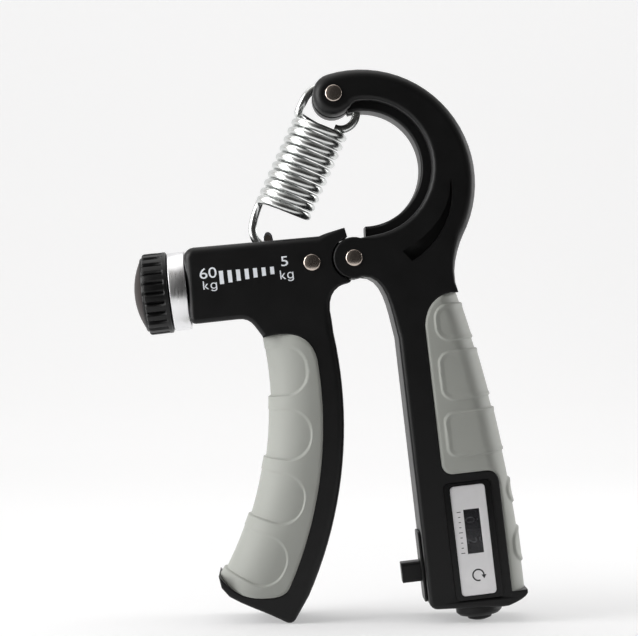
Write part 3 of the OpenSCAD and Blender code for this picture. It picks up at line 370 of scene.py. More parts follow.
class Finish:
    """A material made of nodes around one Principled shader."""

    def __init__(self, name, **constants):
        self.name = name
        self.material = bpy.data.materials.new(name)
        self.material.use_nodes = True
        self.tree = self.material.node_tree
        self.tree.nodes.clear()
        self.shader = self.tree.nodes.new("ShaderNodeBsdfPrincipled")
        surface = self.tree.nodes.new("ShaderNodeOutputMaterial")
        self.tree.links.new(self.shader.outputs[0], surface.inputs["Surface"])
        self.place = self.node("ShaderNodeTexCoord", output="Object")
        for socket, value in constants.items():
            self.shader.inputs[socket.replace("_", " ")].default_value = value

    def node(self, kind, settings=None, values=None, output=0):
        """Any node: its settings first, then the values or links of its sockets."""
        made = self.tree.nodes.new(kind)
        for key, value in (settings or {}).items():
            if key == "stops":
                ramp = made.color_ramp
                for i, (position, colour) in enumerate(value):
                    stop = ramp.elements[i] if i < 2 else ramp.elements.new(position)
                    stop.position, stop.color = position, colour
            else:
                setattr(made, key, value)
        for key, value in (values or {}).items():
            if isinstance(value, Value):
                self.tree.links.new(value.socket, made.inputs[key])
            else:
                made.inputs[key].default_value = value
        return Value(self, made.outputs[output])

    def put(self, socket, value):
        self.tree.links.new(value.socket, self.shader.inputs[socket])

    def noise(self, scale, detail, stretch=None):
        place = self.place
        if stretch:
            place = self.node("ShaderNodeMapping", {}, {"Vector": place, "Scale": stretch})
        values = {"Vector": place, "Scale": scale, "Detail": detail}
        return self.node("ShaderNodeTexNoise", {}, values)

    def ramp(self, value, *stops):
        return self.node("ShaderNodeValToRGB", {"stops": stops}, {"Fac": value})

    def mix(self, factor, a, b):
        """Between two colours, which are sockets 6 and 7 of the node, its output being 2."""
        values = {"Factor": factor, 6: a, 7: b}
        return self.node("ShaderNodeMix", {"data_type": "RGBA"}, values, 2)

    def bump(self, height, distance, strength):
        values = {"Height": height, "Distance": distance, "Strength": strength}
        self.put("Normal", self.node("ShaderNodeBump", {}, values))


def shade(colour, factor):
    return tuple(c * factor for c in colour[:3]) + (1.0,)


def moulded_plastic(name, colour, roughness, grain=0.5, shine=0.3):
    """Satin moulded plastic: a fine spark-eroded grain with a few rubbed patches."""
    f = Finish(name, Specular_IOR_Level=shine)
    patch = f.noise(160, 3)
    fine = f.noise(5200, 2)
    f.put("Base Color", f.mix(patch, shade(colour, 0.85), shade(colour, 1.2)))
    f.put("Roughness", roughness - 0.05 + patch * 0.12)
    f.bump(fine, 0.00003, grain)
    return f


def soft_rubber(name, colour):
    """Overmoulded grip: matt, finely pebbled, with faint clouds of handling."""
    f = Finish(name, Specular_IOR_Level=0.35, Sheen_Weight=0.08, Sheen_Roughness=0.5)
    cloud = f.noise(70, 3)
    pebble = f.noise(3400, 2)
    f.put("Base Color", f.mix(cloud, shade(colour, 0.93), shade(colour, 1.06)))
    f.put("Roughness", 0.5 + cloud * 0.12)
    f.bump(pebble, 0.00004, 0.5)
    return f


def metal(name, colour, roughness, scale, stretch=(1, 1, 1), depth=0.00001, spread=0.1):
    """Plated or bright metal: drawing marks or a fine grain, and uneven polish."""
    f = Finish(name, Metallic=1.0)
    marks = f.noise(scale, 3, stretch)
    tone = f.noise(230, 2)
    f.put("Base Color", f.mix(tone, shade(colour, 0.9), shade(colour, 1.04)))
    f.put("Roughness", roughness - spread / 2 + marks * spread)
    f.bump(marks, depth, 0.6)
    return f


def make_finishes(colours):
    """All the finishes, by name."""
    black, paper = tuple(colours.plastic), tuple(colours.label)
    plain = (
        moulded_plastic("black_plastic", black, 0.43),
        moulded_plastic("gloss_plastic", shade(black, 0.8), 0.24, 0.1, 0.25),
        moulded_plastic("knob_plastic", shade(black, 0.8), 0.36, 0.3),
        soft_rubber("soft_grip", tuple(colours.rubber)),
        moulded_plastic("brown_plastic", tuple(colours.cap), 0.42, 0.2, 0.15),
        metal("spring_steel", tuple(colours.zinc), 0.24, 900, depth=0.000008),
        metal("nickel", tuple(colours.nickel), 0.2, 500, depth=0.000006),
        metal("steel", (0.55, 0.56, 0.58), 0.34, 1500),
        metal("brass", (0.75, 0.55, 0.25), 0.32, 1500),
        metal("ring_metal", tuple(colours.aluminium), 0.3, 420, (6, 0.4, 0.4), 0.000012, 0.16),
        moulded_plastic("wheel_plastic", (0.03, 0.03, 0.032), 0.4, 0.2),
        moulded_plastic("paint", tuple(colours.paint), 0.5, 0.1),
        moulded_plastic("ink", (0.02, 0.02, 0.022), 0.5, 0.1),
    )
    made = {f.name: f for f in plain}
    label = made["label"] = Finish("label", Metallic=0.65, Specular_IOR_Level=0.5)
    grain = label.noise(4200, 2)
    cloud = label.noise(210, 2)
    label.put("Base Color", label.mix(cloud, shade(paper, 0.94), shade(paper, 1.04)))
    label.put("Roughness", 0.36 + grain * 0.16)
    label.bump(grain, 0.00002, 0.6)
    window = Finish("window", Base_Color=(0.03, 0.03, 0.034, 1), Alpha=0.5, IOR=1.49)
    made["window"] = window
    dust = window.noise(900, 3)
    window.put("Roughness", 0.05 + dust * 0.06)
    window.bump(window.noise(150, 2), 0.00001, 0.3)
    return made


# ---- What a user may change ----


class HANDGRIP_PG_looks(bpy.types.PropertyGroup):
    plastic: FloatVectorProperty(
        name="Plastic", description="Colour of the moulded arms", subtype="COLOR",
        default=(0.0035, 0.0035, 0.0037),
    )
    rubber: FloatVectorProperty(
        name="Soft grip", description="Colour of the overmoulded grips", subtype="COLOR",
        default=(0.308, 0.316, 0.292),
    )
    cap: FloatVectorProperty(
        name="Knob cap", description="Colour of the domed cap", subtype="COLOR",
        default=(0.015, 0.01, 0.009),
    )
    zinc: FloatVectorProperty(
        name="Spring", description="Colour of the plated spring wire", subtype="COLOR",
        default=(0.74, 0.755, 0.745),
    )
    nickel: FloatVectorProperty(
        name="Rivets", description="Colour of the rivets", subtype="COLOR",
        default=(0.62, 0.54, 0.48),
    )
    aluminium: FloatVectorProperty(
        name="Bright ring", description="Colour of the turned ring", subtype="COLOR",
        default=(0.86, 0.86, 0.87),
    )
    label: FloatVectorProperty(
        name="Label", description="Colour of the counter's label", subtype="COLOR",
        default=(0.845, 0.84, 0.85),
    )
    paint: FloatVectorProperty(
        name="Print", description="Colour of the scale and the wheels' digits", subtype="COLOR",
        default=(0.78, 0.81, 0.85),
    )
    backdrop: FloatVectorProperty(
        name="Backdrop", description="Colour of the floor and the wall", subtype="COLOR",
        default=(0.5, 0.5, 0.504),
    )


class HANDGRIP_PG_sizes(bpy.types.PropertyGroup):
    grip_half: FloatProperty(
        name="Grip depth", description="Half the depth of a soft grip", default=0.0114,
        unit="LENGTH",
    )
    lever_round: FloatProperty(
        name="Lever rounding", description="Rounding of the lever grip's outer side", default=0.012,
        unit="LENGTH",
    )
    handle_round: FloatProperty(
        name="Handle rounding", description="Rounding of the handle grip's outer side",
        default=0.0062, unit="LENGTH",
    )
    pad_height: FloatProperty(
        name="Pad height", description="How far the grips' pads stand proud", default=0.0005,
        unit="LENGTH",
    )
    wire: FloatProperty(
        name="Wire", description="Thickness of the spring's wire", default=0.0024, unit="LENGTH",
    )
    wire_sides: IntProperty(
        name="Wire sides", description="Sides of the wire's section", default=16, min=6,
    )
    lens: FloatProperty(
        name="Lens", description="Focal length of the camera", default=108.5,
        subtype="DISTANCE_CAMERA",
    )
    distance: FloatProperty(
        name="Distance", description="From the camera to the grip", default=0.55, unit="LENGTH",
    )
    turn: FloatProperty(
        name="Turn", description="How far the camera stands to the left", default=math.radians(1.3),
        unit="ROTATION",
    )


def looks():
    return bpy.context.scene.handgrip_looks


def sizes():
    return bpy.context.scene.handgrip_sizes


FINISHES = {}


def finish(name):
    if not FINISHES:
        FINISHES.update(make_finishes(looks()))
    return FINISHES[name]


# ---- Soft grips ----


def pad_depth(along, inside, half_length, radius):
    """How far a point lies inside a pad that is open on its outer side, below zero if outside."""
    a, b = abs(along) - (half_length - radius), radius - inside
    if a > 0 and b > 0:
        return radius - math.hypot(a, b)
    return radius - max(a, b)


def near(outline, p):
    """Distance from a point to a polyline."""
    best = math.inf
    for a, b in zip(outline, outline[1:]):
        d = b - a
        t = max(0.0, min(1.0, (p - a).dot(d) / max(d.length_squared, 1e-9)))
        best = min(best, (a + d * t - p).length)
    return best


def section(s, width, half, rounding):
    """Half of the grip's section: distance in from the outer side, and depth, for s from 0 to 1."""
    nose, back = 0.5, 0.98
    if s < nose:
        a = math.radians(90 * s / nose)
        return rounding * (1 - math.cos(a)), GRIP_FLAT + (half - GRIP_FLAT) * math.sin(a)
    if s < back:
        b = (s - nose) / (back - nose)
        return rounding + (width - rounding) * b, half - GRIP_FALL * b * b
    return width, (half - GRIP_FALL) * (1 - s) / (1 - back)


def grip_body(rows, columns, spine, rounding, pads, relief, seam, outline):
    """A soft grip. spine(u) gives the outer point, the direction inward and the width there,
    relief gives its height from how far a point lies inside a pad and along it, the seam is sunk
    in and the outline is what is left of it."""
    half = sizes().grip_half / MM
    bm = bmesh.new()
    bmesh.ops.create_grid(bm, x_segments=rows, y_segments=columns, size=0.5)
    for v in bm.verts:
        u, around = v.co.x + 0.5, v.co.y * 2
        outer, inward, width = spine(u)
        w, y = section(abs(around), width, half, rounding)
        p = outer + inward * w
        v.co = (HINGE.x + p.x, math.copysign(y, around) if around else 0.0, HINGE.z + p.y)
    bmesh.ops.remove_doubles(bm, verts=bm.verts, dist=0.0005)
    bmesh.ops.holes_fill(bm, edges=[e for e in bm.edges if e.is_boundary], sides=0)
    bmesh.ops.recalc_face_normals(bm, faces=bm.faces)
    bm.normal_update()
    moves = []
    for v in bm.verts:
        p = Vector((v.co.x - HINGE.x, v.co.z - HINGE.z))
        depth, along = max(pad(p) for pad in pads)
        rise = relief(depth, along, math.hypot(v.normal.x, v.normal.z))
        sink = GROOVE_DEPTH * max(0.0, 1 - near(seam, p) / GROOVE_WIDTH) ** 2
        moves.append(v.normal * rise - Vector((0, math.copysign(sink, v.co.y), 0)))
    for v, move in zip(bm.verts, moves):
        v.co += move
    return cut_to(bm, prism(outline, -CUTTER_HALF, CUTTER_HALF))


def ray_to_outer(direction):
    """Distance from the lever's centre to its outer side."""
    o = LEVER_CENTRE - LEVER_OUTER_CENTRE
    along = o.dot(direction)
    return -along + math.sqrt(along**2 - o.length_squared + LEVER_OUTER_R**2)


def lever_grip_body():
    rows, columns = 300, 170
    top_angle, swept, overlap = 17.5, 48, 1.5
    palm_r, pad_edge_r, pad_half, pad_round = 104.5, 109.8, 7.4, 7
    first_pad, pad_step, pad_count = 8.9, 10.05, 4

    def spine(u):
        a = math.radians(top_angle - swept * u)
        direction = Vector((math.cos(a), math.sin(a)))
        reach = ray_to_outer(direction)
        return LEVER_CENTRE + direction * reach, direction, LEVER_SPINE_R + overlap - reach

    def pad(middle):
        def depth(p):
            q = p - LEVER_CENTRE
            along = (middle - math.degrees(math.atan2(q.y, q.x))) * math.radians(palm_r)
            inside = pad_depth(along, pad_edge_r - q.length, pad_half, pad_round)
            return inside, max(-1.0, min(1.0, along / pad_half))

        return depth

    def relief(depth, along, outward):
        """Hollows for the palm, deepest at their lower ends."""
        proud = sizes().pad_height / MM * (0.35 + 0.65 * outward)
        return proud - (0.16 + 0.27 * (along + 1)) * step_in(depth / 0.45)

    seam = lever_grip_seams()
    outer_top, outer_length, steps, clear = -27, 59, 12, 4
    outside = [
        lever_outer_point(outer_top - outer_length * i / steps) - Vector((clear, 0))
        for i in range(steps + 1)
    ]
    start = seam[0] + (seam[0] - seam[1]).normalized() * clear
    end = seam[-1] + (seam[-1] - seam[-2]).normalized() * 2.6
    outline = seam + [end] + outside[::-1] + [start]
    pads = [pad(first_pad - pad_step * i) for i in range(pad_count)]
    rounding = sizes().lever_round / MM
    return grip_body(rows, columns, spine, rounding, pads, relief, seam, outline)


def frame_grip_body():
    rows, columns = 330, 150
    top, length, inner_edge = 9, 92, 16.2

    def spine(u):
        down = top + length * u
        outer = on_handle(handle_outer(down), down)
        inward = on_handle(0, down) - on_handle(1, down)
        return outer, inward, handle_outer(down) - inner_edge

    def pad(top, foot, left, radius):
        def depth(p):
            q = IN_HANDLE.inverted() @ Vector((HINGE.x + p.x, 0, HINGE.z + p.y))
            along, half = -q.z - (top + foot) / 2, (foot - top) / 2
            inside = pad_depth(along, q.x - left, half, radius)
            return inside, max(-1.0, min(1.0, along / half))

        return depth

    def relief(depth, along, outward):
        """Raised pads for the fingers, higher at their upper ends, with a shallow dish."""
        height = sizes().pad_height / MM * (0.98 + outward * (0.2 - 0.15 * along))
        return height * step_in(depth / 0.45) - 0.22 * step_in((depth - 0.45) / 1.4)

    seam = frame_grip_seams()
    outer_length, steps, clear = 84.0, 12, 4
    outside = [
        on_handle(handle_outer(down) + clear, down)
        for down in (GRIP_FOOT_AT - outer_length * i / steps for i in range(steps + 1))
    ]
    start = seam[0] + (seam[0] - seam[1]).normalized() * clear
    outline = seam + outside + [start]
    pads = [
        pad(15.7, 26.4, 20.2, 4.2),
        pad(29.0, 43.1, 19.9, 3.6),
        pad(46.2, 59.0, 19.7, 2.8),
        pad(65.4, 75.2, 35.0, 4.8),
        pad(79.9, 91.8, 35.0, 5.2),
    ]
    rounding = sizes().handle_round / MM
    return grip_body(rows, columns, spine, rounding, pads, relief, seam, outline)


class HANDGRIP_OT_soft_grips(bpy.types.Operator):
    """Moulds the two soft grips, with hollows for the palm and raised pads for the fingers"""

    bl_idname = "handgrip.soft_grips"
    bl_label = "Soft grips"

    def execute(self, context):
        for name, body, build, node in (
            ("lever_soft_grip", "lever", lever_grip_body, "lever_grip"),
            ("handle_soft_grip", "frame", frame_grip_body, "frame_grip"),
        ):
            save(name, build(), body, finish("soft_grip"), [node], 50)
        return {"FINISHED"}


# ---- Moulded arms and other plain pieces ----


class HANDGRIP_OT_moulded_arms(bpy.types.Operator):
    """Evens the shading of the moulded arms and gives them their satin finish"""

    bl_idname = "handgrip.moulded_arms"
    bl_label = "Moulded arms"

    def execute(self, context):
        for name, body, node in (
            ("ring_arm", "frame", "frame_arm"),
            ("lever_body", "lever", "lever_arm"),
        ):
            look = finish("black_plastic")
            save(name, cad_copy(node), body, look, [node], 38, even=True)
        return {"FINISHED"}


def narrow_ears(bm):
    """Draws the nut's two ears in around the hook pin."""
    ears_from, share = 6.5, 0.68
    place = TO_METRES @ IN_BARREL
    back = place.inverted()
    for v in bm.verts:
        p = back @ v.co
        if p.z > ears_from:
            p.x = HOOK_PIN.x + (p.x - HOOK_PIN.x) * share
            v.co = place @ p


class HANDGRIP_OT_small_parts(bpy.types.Operator):
    """Softens the edges of the counter's case, its button and the other small mouldings"""

    bl_idname = "handgrip.small_parts"
    bl_label = "Small parts"

    def execute(self, context):
        for name, body, node, kind, width in (
            ("counter_bezel", "frame", "counter_case", "black_plastic", 0.0006),
            ("silver_label", "frame", "counter_label", "label", 0.00008),
            ("clear_window", "frame", "counter_window", "window", 0.0001),
            ("button_guide", "frame", "button_plate", "black_plastic", 0.0002),
            ("press_button", "count_button", "counter_button", "black_plastic", 0.0003),
            ("nut", "carriage", "carriage_nut", "steel", 0.00015),
        ):
            bm = cad_copy(node)
            if node == "carriage_nut":
                narrow_ears(bm)
            soften(bm, width, 2, 50)
            look = finish("gloss_plastic" if node == "counter_case" else kind)
            save(name, bm, body, look, [node], 40, even=True)
        for node, kind in (
            ("counter_shaft", "steel"),
            ("pinion_axle", "steel"),
            ("tail_block", "black_plastic"),
            ("end_bush", "black_plastic"),
            ("lead_screw", "steel"),
            ("retaining_clip", "steel"),
            ("hook_pin", "nickel"),
            ("drive_pawl", "brass"),
            ("reset_washer", "steel"),
            ("carry_pinion", "brass"),
            ("units_wheel", "wheel_plastic"),
            ("tens_wheel", "wheel_plastic"),
        ):
            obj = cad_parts[node]
            obj.data.materials.clear()
            obj.data.materials.append(finish(kind).material)
        return {"FINISHED"}


# ---- Springs ----


def wire_mesh(name, path, radius, sides):
    """A round wire along points in metres, as a closed mesh."""
    curve = bpy.data.curves.new(name, "CURVE")
    curve.dimensions = "3D"
    curve.bevel_depth = radius
    curve.bevel_resolution = max(1, sides // 2 - 1)
    curve.use_fill_caps = True
    spline = curve.splines.new("POLY")
    spline.points.add(len(path) - 1)
    for point, place in zip(spline.points, path):
        point.co = (*place, 1)
    return mesh_of(curve, 1e-6)


def space(p, y=0.0):
    """A flat point put into space, at a depth."""
    return Vector((p.x, y, p.y))


def main_spring_path():
    """Centre line of the wire: hook, ten curls, the loop over the anchor rivet and its tail."""
    wire_r, pin_r, rivet_r, hold = 1.15, 1.1, 1.6, 0.3
    coil_r, pitch, turns, start, shift, ease_steps = 7.1, 2.72, 10, 9.0, 0.4, 20
    hook_r, tail_r, tail_centre = 5.8, 4.4, Vector((-3.4, 41.4))
    per_turn, first_turn = 40, 205
    steps = turns * per_turn - per_turn // 8
    pin = on_barrel(*HOOK_PIN)
    pull = (ANCHOR - pin).normalized()
    across, deep = Vector((pull.y, 0, -pull.x)), Vector((0, 1, 0))

    def curl(i):
        a = math.radians(first_turn + 360 * i / per_turn)
        middle = space(pin + pull * (start + shift + pitch * i / per_turn))
        aside = shift * step_in(i / ease_steps) * step_in((steps - i) / ease_steps)
        return middle + coil_r * (math.cos(a) * across + math.sin(a) * deep) + aside * across

    hook_centre = pin + pull * (hook_r - pin_r - wire_r - hold)
    hook = [space(on_circle(hook_centre, hook_r, 292 - 120 * i / 16)) for i in range(17)]
    coil = [curl(i) for i in range(steps + 1)]
    loop_centre = ANCHOR - pull * (coil_r - rivet_r - wire_r - hold)
    loop = [space(on_circle(loop_centre, coil_r, 150 - 80 * i / 12)) for i in range(13)]
    side = space(tail_centre + Vector((tail_r, 0)))
    ease = (loop[-1] - loop[-2]).normalized()
    loop += bezier(loop[-1], loop[-1] + ease * 3.2, side + Vector((0, 0, 3.4)), side, 10)[1:]
    tail = [space(on_circle(tail_centre, tail_r, -115 * i / 16)) for i in range(1, 17)]
    rise = (coil[-1] - coil[-2]).normalized()
    leave, meet = hook[-1] + Vector((0.6, 0, 4)), coil[0] + Vector((0, 2.4, 0))
    low = bezier(hook[-1], leave, meet, coil[0], 16)[1:-1]
    leave, meet = coil[-1] + rise * 2, loop[0] - Vector((1, 0, 2))
    top = bezier(coil[-1], leave, meet, loop[0], 14)[1:-1]
    return [(HINGE + p) * MM for p in hook + low + coil + top + loop + tail]


def small_coil(radius, pitch, place):
    """A coil of two turns along Z, in metres, turned as its place says."""
    turns, per_turn = 2, 24
    points = []
    for i in range(turns * per_turn + 1):
        a = math.tau * i / per_turn
        p = Vector((radius * math.cos(a), radius * math.sin(a), pitch * i / per_turn))
        points.append((place @ p) * MM)
    return points


class HANDGRIP_OT_springs(bpy.types.Operator):
    """Winds the plated tension spring and the two small return springs"""

    bl_idname = "handgrip.springs"
    bl_label = "Springs"

    def execute(self, context):
        look = finish("spring_steel")
        bm = wire_mesh("tension_spring", main_spring_path(), sizes().wire / 2, sizes().wire_sides)
        spring = save("tension_spring", bm, None, look, ["main_spring"], 60)
        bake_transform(spring)
        tilt = Matrix.Rotation(math.radians(-HANDLE_TILT), 4, "Y")
        wire_r, wire_sides = 0.0002, 8
        for name, node, body, radius, pitch, place in (
            ("button_return_spring", "button_spring", "count_button", 1.9, 0.9, tilt @ ALONG_X),
            ("reset_return_spring", "reset_spring", "reset_slide", 2.0, 0.5, tilt),
        ):
            low_corner, high_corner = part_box(node)
            points = small_coil(radius, pitch, place)
            offset = (low_corner + high_corner) / 2 - sum(points, Vector()) / len(points)
            points = [p + offset for p in points]
            bm = wire_mesh(name, points, wire_r, wire_sides)
            coil = save(name, bm, body, look, [node], 60)
            if node == "button_spring":
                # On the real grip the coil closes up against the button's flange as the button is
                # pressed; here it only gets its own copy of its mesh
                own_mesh(coil)
        return {"FINISHED"}


# ---- Rivets, knob and ring ----


def dome(rim, height, steps):
    """Profile of a domed head from its rim to its crown."""
    r = (rim * rim + height * height) / (2 * height)
    a = math.asin(min(1.0, rim / r))
    return [
        (r * math.sin(a * (1 - i / steps)), r * math.cos(a * (1 - i / steps)) - r + height)
        for i in range(steps + 1)
    ]


class HANDGRIP_OT_rivets(bpy.types.Operator):
    """Turns the nickel rivets with their domed heads on both sides"""

    bl_idname = "handgrip.rivets"
    bl_label = "Rivets"

    def execute(self, context):
        shank_r, head_r, rim_r, rounding, crown = 1.55, 2.36, 1.98, 0.4, 0.28
        rim = [on_circle(Vector((rim_r, BODY_HALF + 0.05)), rounding, a) for a in range(0, 81, 16)]
        head = [(r, rim[-1].y + h) for r, h in dome(rim[-1].x, crown, 10)]
        half = [(shank_r, BODY_HALF), (head_r, BODY_HALF)] + [(p.x, p.y) for p in rim[:-1]] + head
        profile = [(r, -h) for r, h in reversed(half)] + half
        tail = on_barrel(*TAIL_RIVET)
        for name, node, body, x, z in (
            ("hinge_pin_rivet", "hinge_rivet", "frame", 0, 0),
            ("spring_rivet", "anchor_rivet", "frame", ANCHOR.x, ANCHOR.y),
            ("barrel_rivet", "tail_rivet", "lever", tail.x, tail.y),
        ):
            bm = turned(profile, 48, AT_HINGE @ Matrix.Translation((x, 0, z)) @ ALONG_Y)
            save(name, bm, body, finish("nickel"), [node], 40)
        return {"FINISHED"}


class HANDGRIP_OT_knob(bpy.types.Operator):
    """Makes the ribbed tension knob, its domed cap and the bright ring"""

    bl_idname = "handgrip.knob"
    bl_label = "Tension knob"

    def execute(self, context):
        ribs, per_rib = 24, 8
        rib_share, flank = 0.66, 0.2
        start_r, face, front = 10.9, -5.25, -12.85

        def outline(a, rib, groove):
            """Radius at a turn a, in ribs: flat ribs with rounded grooves between them."""
            x = abs((a % 1.0) - 0.5) * 2
            return rib - (rib - groove) * step_in((x - rib_share) / flank)

        # Along the barrel: height, radius on a rib and radius in a groove
        stations = (
            (face, 10.6, 10.6),
            (face, 11.2, 11.2),
            (face - 0.25, 11.55, 11.55),
            (face - 0.9, 11.6, 11.6),
            (face - 1.15, 11.55, 11.3),
            (face - 1.35, 11.55, 10.75),
            (face - 4.0, 11.6, 10.7),
            (front + 1.5, 11.6, 10.7),
            (front + 1.0, 11.45, 10.65),
            (front + 0.75, 11.1, 10.6),
            (front + 0.7, 10.6, 10.55),
            (front + 0.25, 10.45, 10.45),
            (front, 10.15, 10.15),
            (front, 9.6, 9.6),
        )
        bm = bmesh.new()
        bmesh.ops.create_circle(bm, cap_ends=False, radius=start_r, segments=ribs * per_rib)
        bmesh.ops.translate(bm, vec=(0, 0, face), verts=bm.verts)
        edges = list(bm.edges)
        for x, rib, groove in stations[1:]:
            grown = bmesh.ops.extrude_edge_only(bm, edges=edges)["geom"]
            edges = [g for g in grown if isinstance(g, bmesh.types.BMEdge)]
            for v in (g for g in grown if isinstance(g, bmesh.types.BMVert)):
                r = outline(math.atan2(v.co.y, v.co.x) / math.tau * ribs, rib, groove)
                side = Vector((v.co.x, v.co.y)).normalized() * r
                v.co = (side.x, side.y, x)
        bmesh.ops.holes_fill(bm, edges=[e for e in bm.edges if e.is_boundary], sides=0)
        bmesh.ops.recalc_face_normals(bm, faces=bm.faces)
        bmesh.ops.transform(bm, matrix=TO_METRES @ IN_BARREL @ ALONG_X, verts=bm.verts)
        look = finish("knob_plastic")
        save("ribbed_knob", bm, "tension_knob", look, ["adjuster_knob"], 32)

        cap_r, cap_height = 9.7, 2.45
        crown = [(r, -h) for r, h in dome(cap_r, cap_height, 18)]
        profile = [(0, 0.3), (9.2, 0.3), (9.75, 0.05)] + crown
        place = IN_BARREL @ Matrix.Translation((front - 0.05, 0, 0)) @ ALONG_X
        look = finish("brown_plastic")
        bm = turned(profile, 96, place)
        save("domed_cap", bm, "tension_knob", look, ["knob_cap"], 50)

        bore, middle_r, ring_r, left, right = 8.97, 10.85, 11.2, -4.9, -0.1
        profile = [(bore, left), (middle_r, left), (ring_r, left)]
        profile += [(ring_r, right), (middle_r, right), (bore, right)]
        bm = turned(profile, 128, IN_BARREL @ ALONG_X, 0.22)
        save("bright_ring", bm, "lever", finish("ring_metal"), ["barrel_ring"], 35)
        return {"FINISHED"}


class HANDGRIP_OT_reset_knob(bpy.types.Operator):
    """Softens the edges of the reset knob under the handle"""

    bl_idname = "handgrip.reset_knob"
    bl_label = "Reset knob"

    def execute(self, context):
        bm = cad_copy("reset_knob")
        soften(bm, 0.00015, 2, 35)
        look = finish("black_plastic")
        save("reset_dial", bm, "reset", look, ["reset_knob"], 30, even=True)
        return {"FINISHED"}


# ---- Printing ----


def text_shape(text, height):
    """Flat lettering in XY, centred, as a bmesh in millimetres."""
    cap_height, boldness = 0.7, 0.004
    curve = bpy.data.curves.new("lettering", "FONT")
    curve.body = text
    curve.size = height / cap_height
    curve.align_x = "CENTER"
    curve.align_y = "CENTER"
    curve.resolution_u = 4
    curve.offset = boldness * height
    bm = mesh_of(curve, 0.0001)
    left, foot, right, top = extent(bm)
    bmesh.ops.translate(bm, vec=(-(left + right) / 2, -(foot + top) / 2, 0), verts=bm.verts)
    return bm


def extent(bm):
    """Left, foot, right and top of a flat shape."""
    xs, ys = [v.co.x for v in bm.verts], [v.co.y for v in bm.verts]
    return min(xs), min(ys), max(xs), max(ys)


def fitted_text(text, left, foot, right, top):
    """Lettering that fills a box."""
    bm = text_shape(text, top - foot)
    x0, y0, x1, y1 = extent(bm)
    size = ((right - left) / (x1 - x0), (top - foot) / (y1 - y0), 1)
    bmesh.ops.scale(bm, vec=size, verts=bm.verts)
    bmesh.ops.translate(bm, vec=((left + right) / 2, (foot + top) / 2, 0), verts=bm.verts)
    return bm


def rectangle(x, y, width, height):
    """A flat rectangle about its middle."""
    bm = bmesh.new()
    bmesh.ops.create_grid(bm, x_segments=1, y_segments=1, size=0.5)
    bmesh.ops.scale(bm, vec=(width, height, 1), verts=bm.verts)
    bmesh.ops.translate(bm, vec=(x, y, 0), verts=bm.verts)
    return bm


def turning_arrow(x, y):
    """A plain open circle with an arrowhead, about its middle."""
    inner_r, outer_r, turn, steps = 1.35, 1.75, 285, 30
    bm = bmesh.new()
    inner, outer = bm.verts.new((inner_r, 0, 0)), bm.verts.new((outer_r, 0, 0))
    bmesh.ops.spin(
        bm, geom=[inner, outer, bm.edges.new((inner, outer))], cent=(0, 0, 0), axis=(0, 0, 1),
        dvec=(0, 0, 0), angle=math.radians(turn), steps=steps,
    )
    bm.faces.new([bm.verts.new(p) for p in ((0.85, 0, 0), (1.55, -1.15, 0), (2.25, 0, 0))])
    bmesh.ops.translate(bm, vec=(x, y, 0), verts=bm.verts)
    return bm


def joined(shapes, place):
    """Shapes in millimetres as one bmesh, put in their place in metres."""
    total = bmesh.new()
    for shape in shapes:
        mesh = bpy.data.meshes.new("part")
        shape.to_mesh(mesh)
        shape.free()
        total.from_mesh(mesh)
        bpy.data.meshes.remove(mesh)
    bmesh.ops.transform(total, matrix=TO_METRES @ place, verts=total.verts)
    return total


class HANDGRIP_OT_printing(bpy.types.Operator):
    """Prints the force scale on the barrel and the marks on the counter's label"""

    bl_idname = "handgrip.printing"
    bl_label = "Printing"

    def execute(self, context):
        # Drawn flat in XY, then stood up on the front: the scale on the barrel, with the unit in
        # single letters, and ticks and an arrow on the label
        upright = Matrix.Rotation(math.radians(90), 4, "X")
        scale_lift, label_lift = 0.02, 0.12
        print_face = [
            ("60", 4.05, 2.5, 8.85, 5.5),
            ("k", 4.68, -0.5, 6.3, 1.85),
            ("\u0261", 6.75, -1.2, 8.6, 1.2),
            ("5", 27.05, 3.6, 29.05, 6.35),
            ("k", 26.45, 0.0, 28.05, 2.5),
            ("\u0261", 28.4, -0.75, 30.2, 1.8),
        ]
        shapes = []
        bars, first_bar, bar_step = 7, 10.05, 2.39
        for i in range(bars):
            x, width = first_bar + bar_step * i, 1.18 - 0.01 * i
            top, foot = 4.24 - 0.07 * i, 0.5 + 0.2 * i
            shapes.append(rectangle(x, (top + foot) / 2, width, top - foot))
        shapes += [fitted_text(*item) for item in print_face]
        place = IN_BARREL @ Matrix.Translation((0, -BODY_HALF - scale_lift, 0)) @ upright
        save("force_scale", joined(shapes, place), "lever", finish("paint"))

        ticks, long_every, tick_x, tick_top, tick_step, tick_width = 9, 4, -3.2, 8.2, 1.45, 0.22
        shapes = [
            rectangle(tick_x, tick_top - tick_step * i, 0.6 if i % long_every else 1.1, tick_width)
            for i in range(ticks)
        ]
        shapes.append(turning_arrow(0.3, -9.9))
        middle = (WHEEL_AXIS[0], -BODY_HALF - label_lift, -82.6)
        place = IN_HANDLE @ Matrix.Translation(middle) @ upright
        save("label_marks", joined(shapes, place), "frame", finish("ink"))
        return {"FINISHED"}


class HANDGRIP_OT_digits(bpy.types.Operator):
    """Puts the ten digits around each number wheel"""

    bl_idname = "handgrip.digits"
    bl_label = "Digits"

    def execute(self, context):
        height, wheel_r, print_r = 2.7, 5.3, 5.33
        across, deep = WHEEL_AXIS
        for name, body, middle, shown in (
            ("tens_digits", "tens", 77.15, 0),
            ("units_digits", "units", 83.05, 2),
        ):
            shapes = []
            for digit in range(10):
                part = text_shape(str(digit), height)
                bmesh.ops.subdivide_edges(part, edges=part.edges, cuts=1)
                for v in part.verts:
                    a = v.co.y / wheel_r + math.tau / 10 * (digit - shown)
                    x, y = across + print_r * math.sin(a), deep - print_r * math.cos(a)
                    v.co = (x, y, -middle - v.co.x)
                shapes.append(part)
            save(name, joined(shapes, IN_HANDLE), body, finish("paint"), (), 60)
        return {"FINISHED"}


# ---- Stage ----


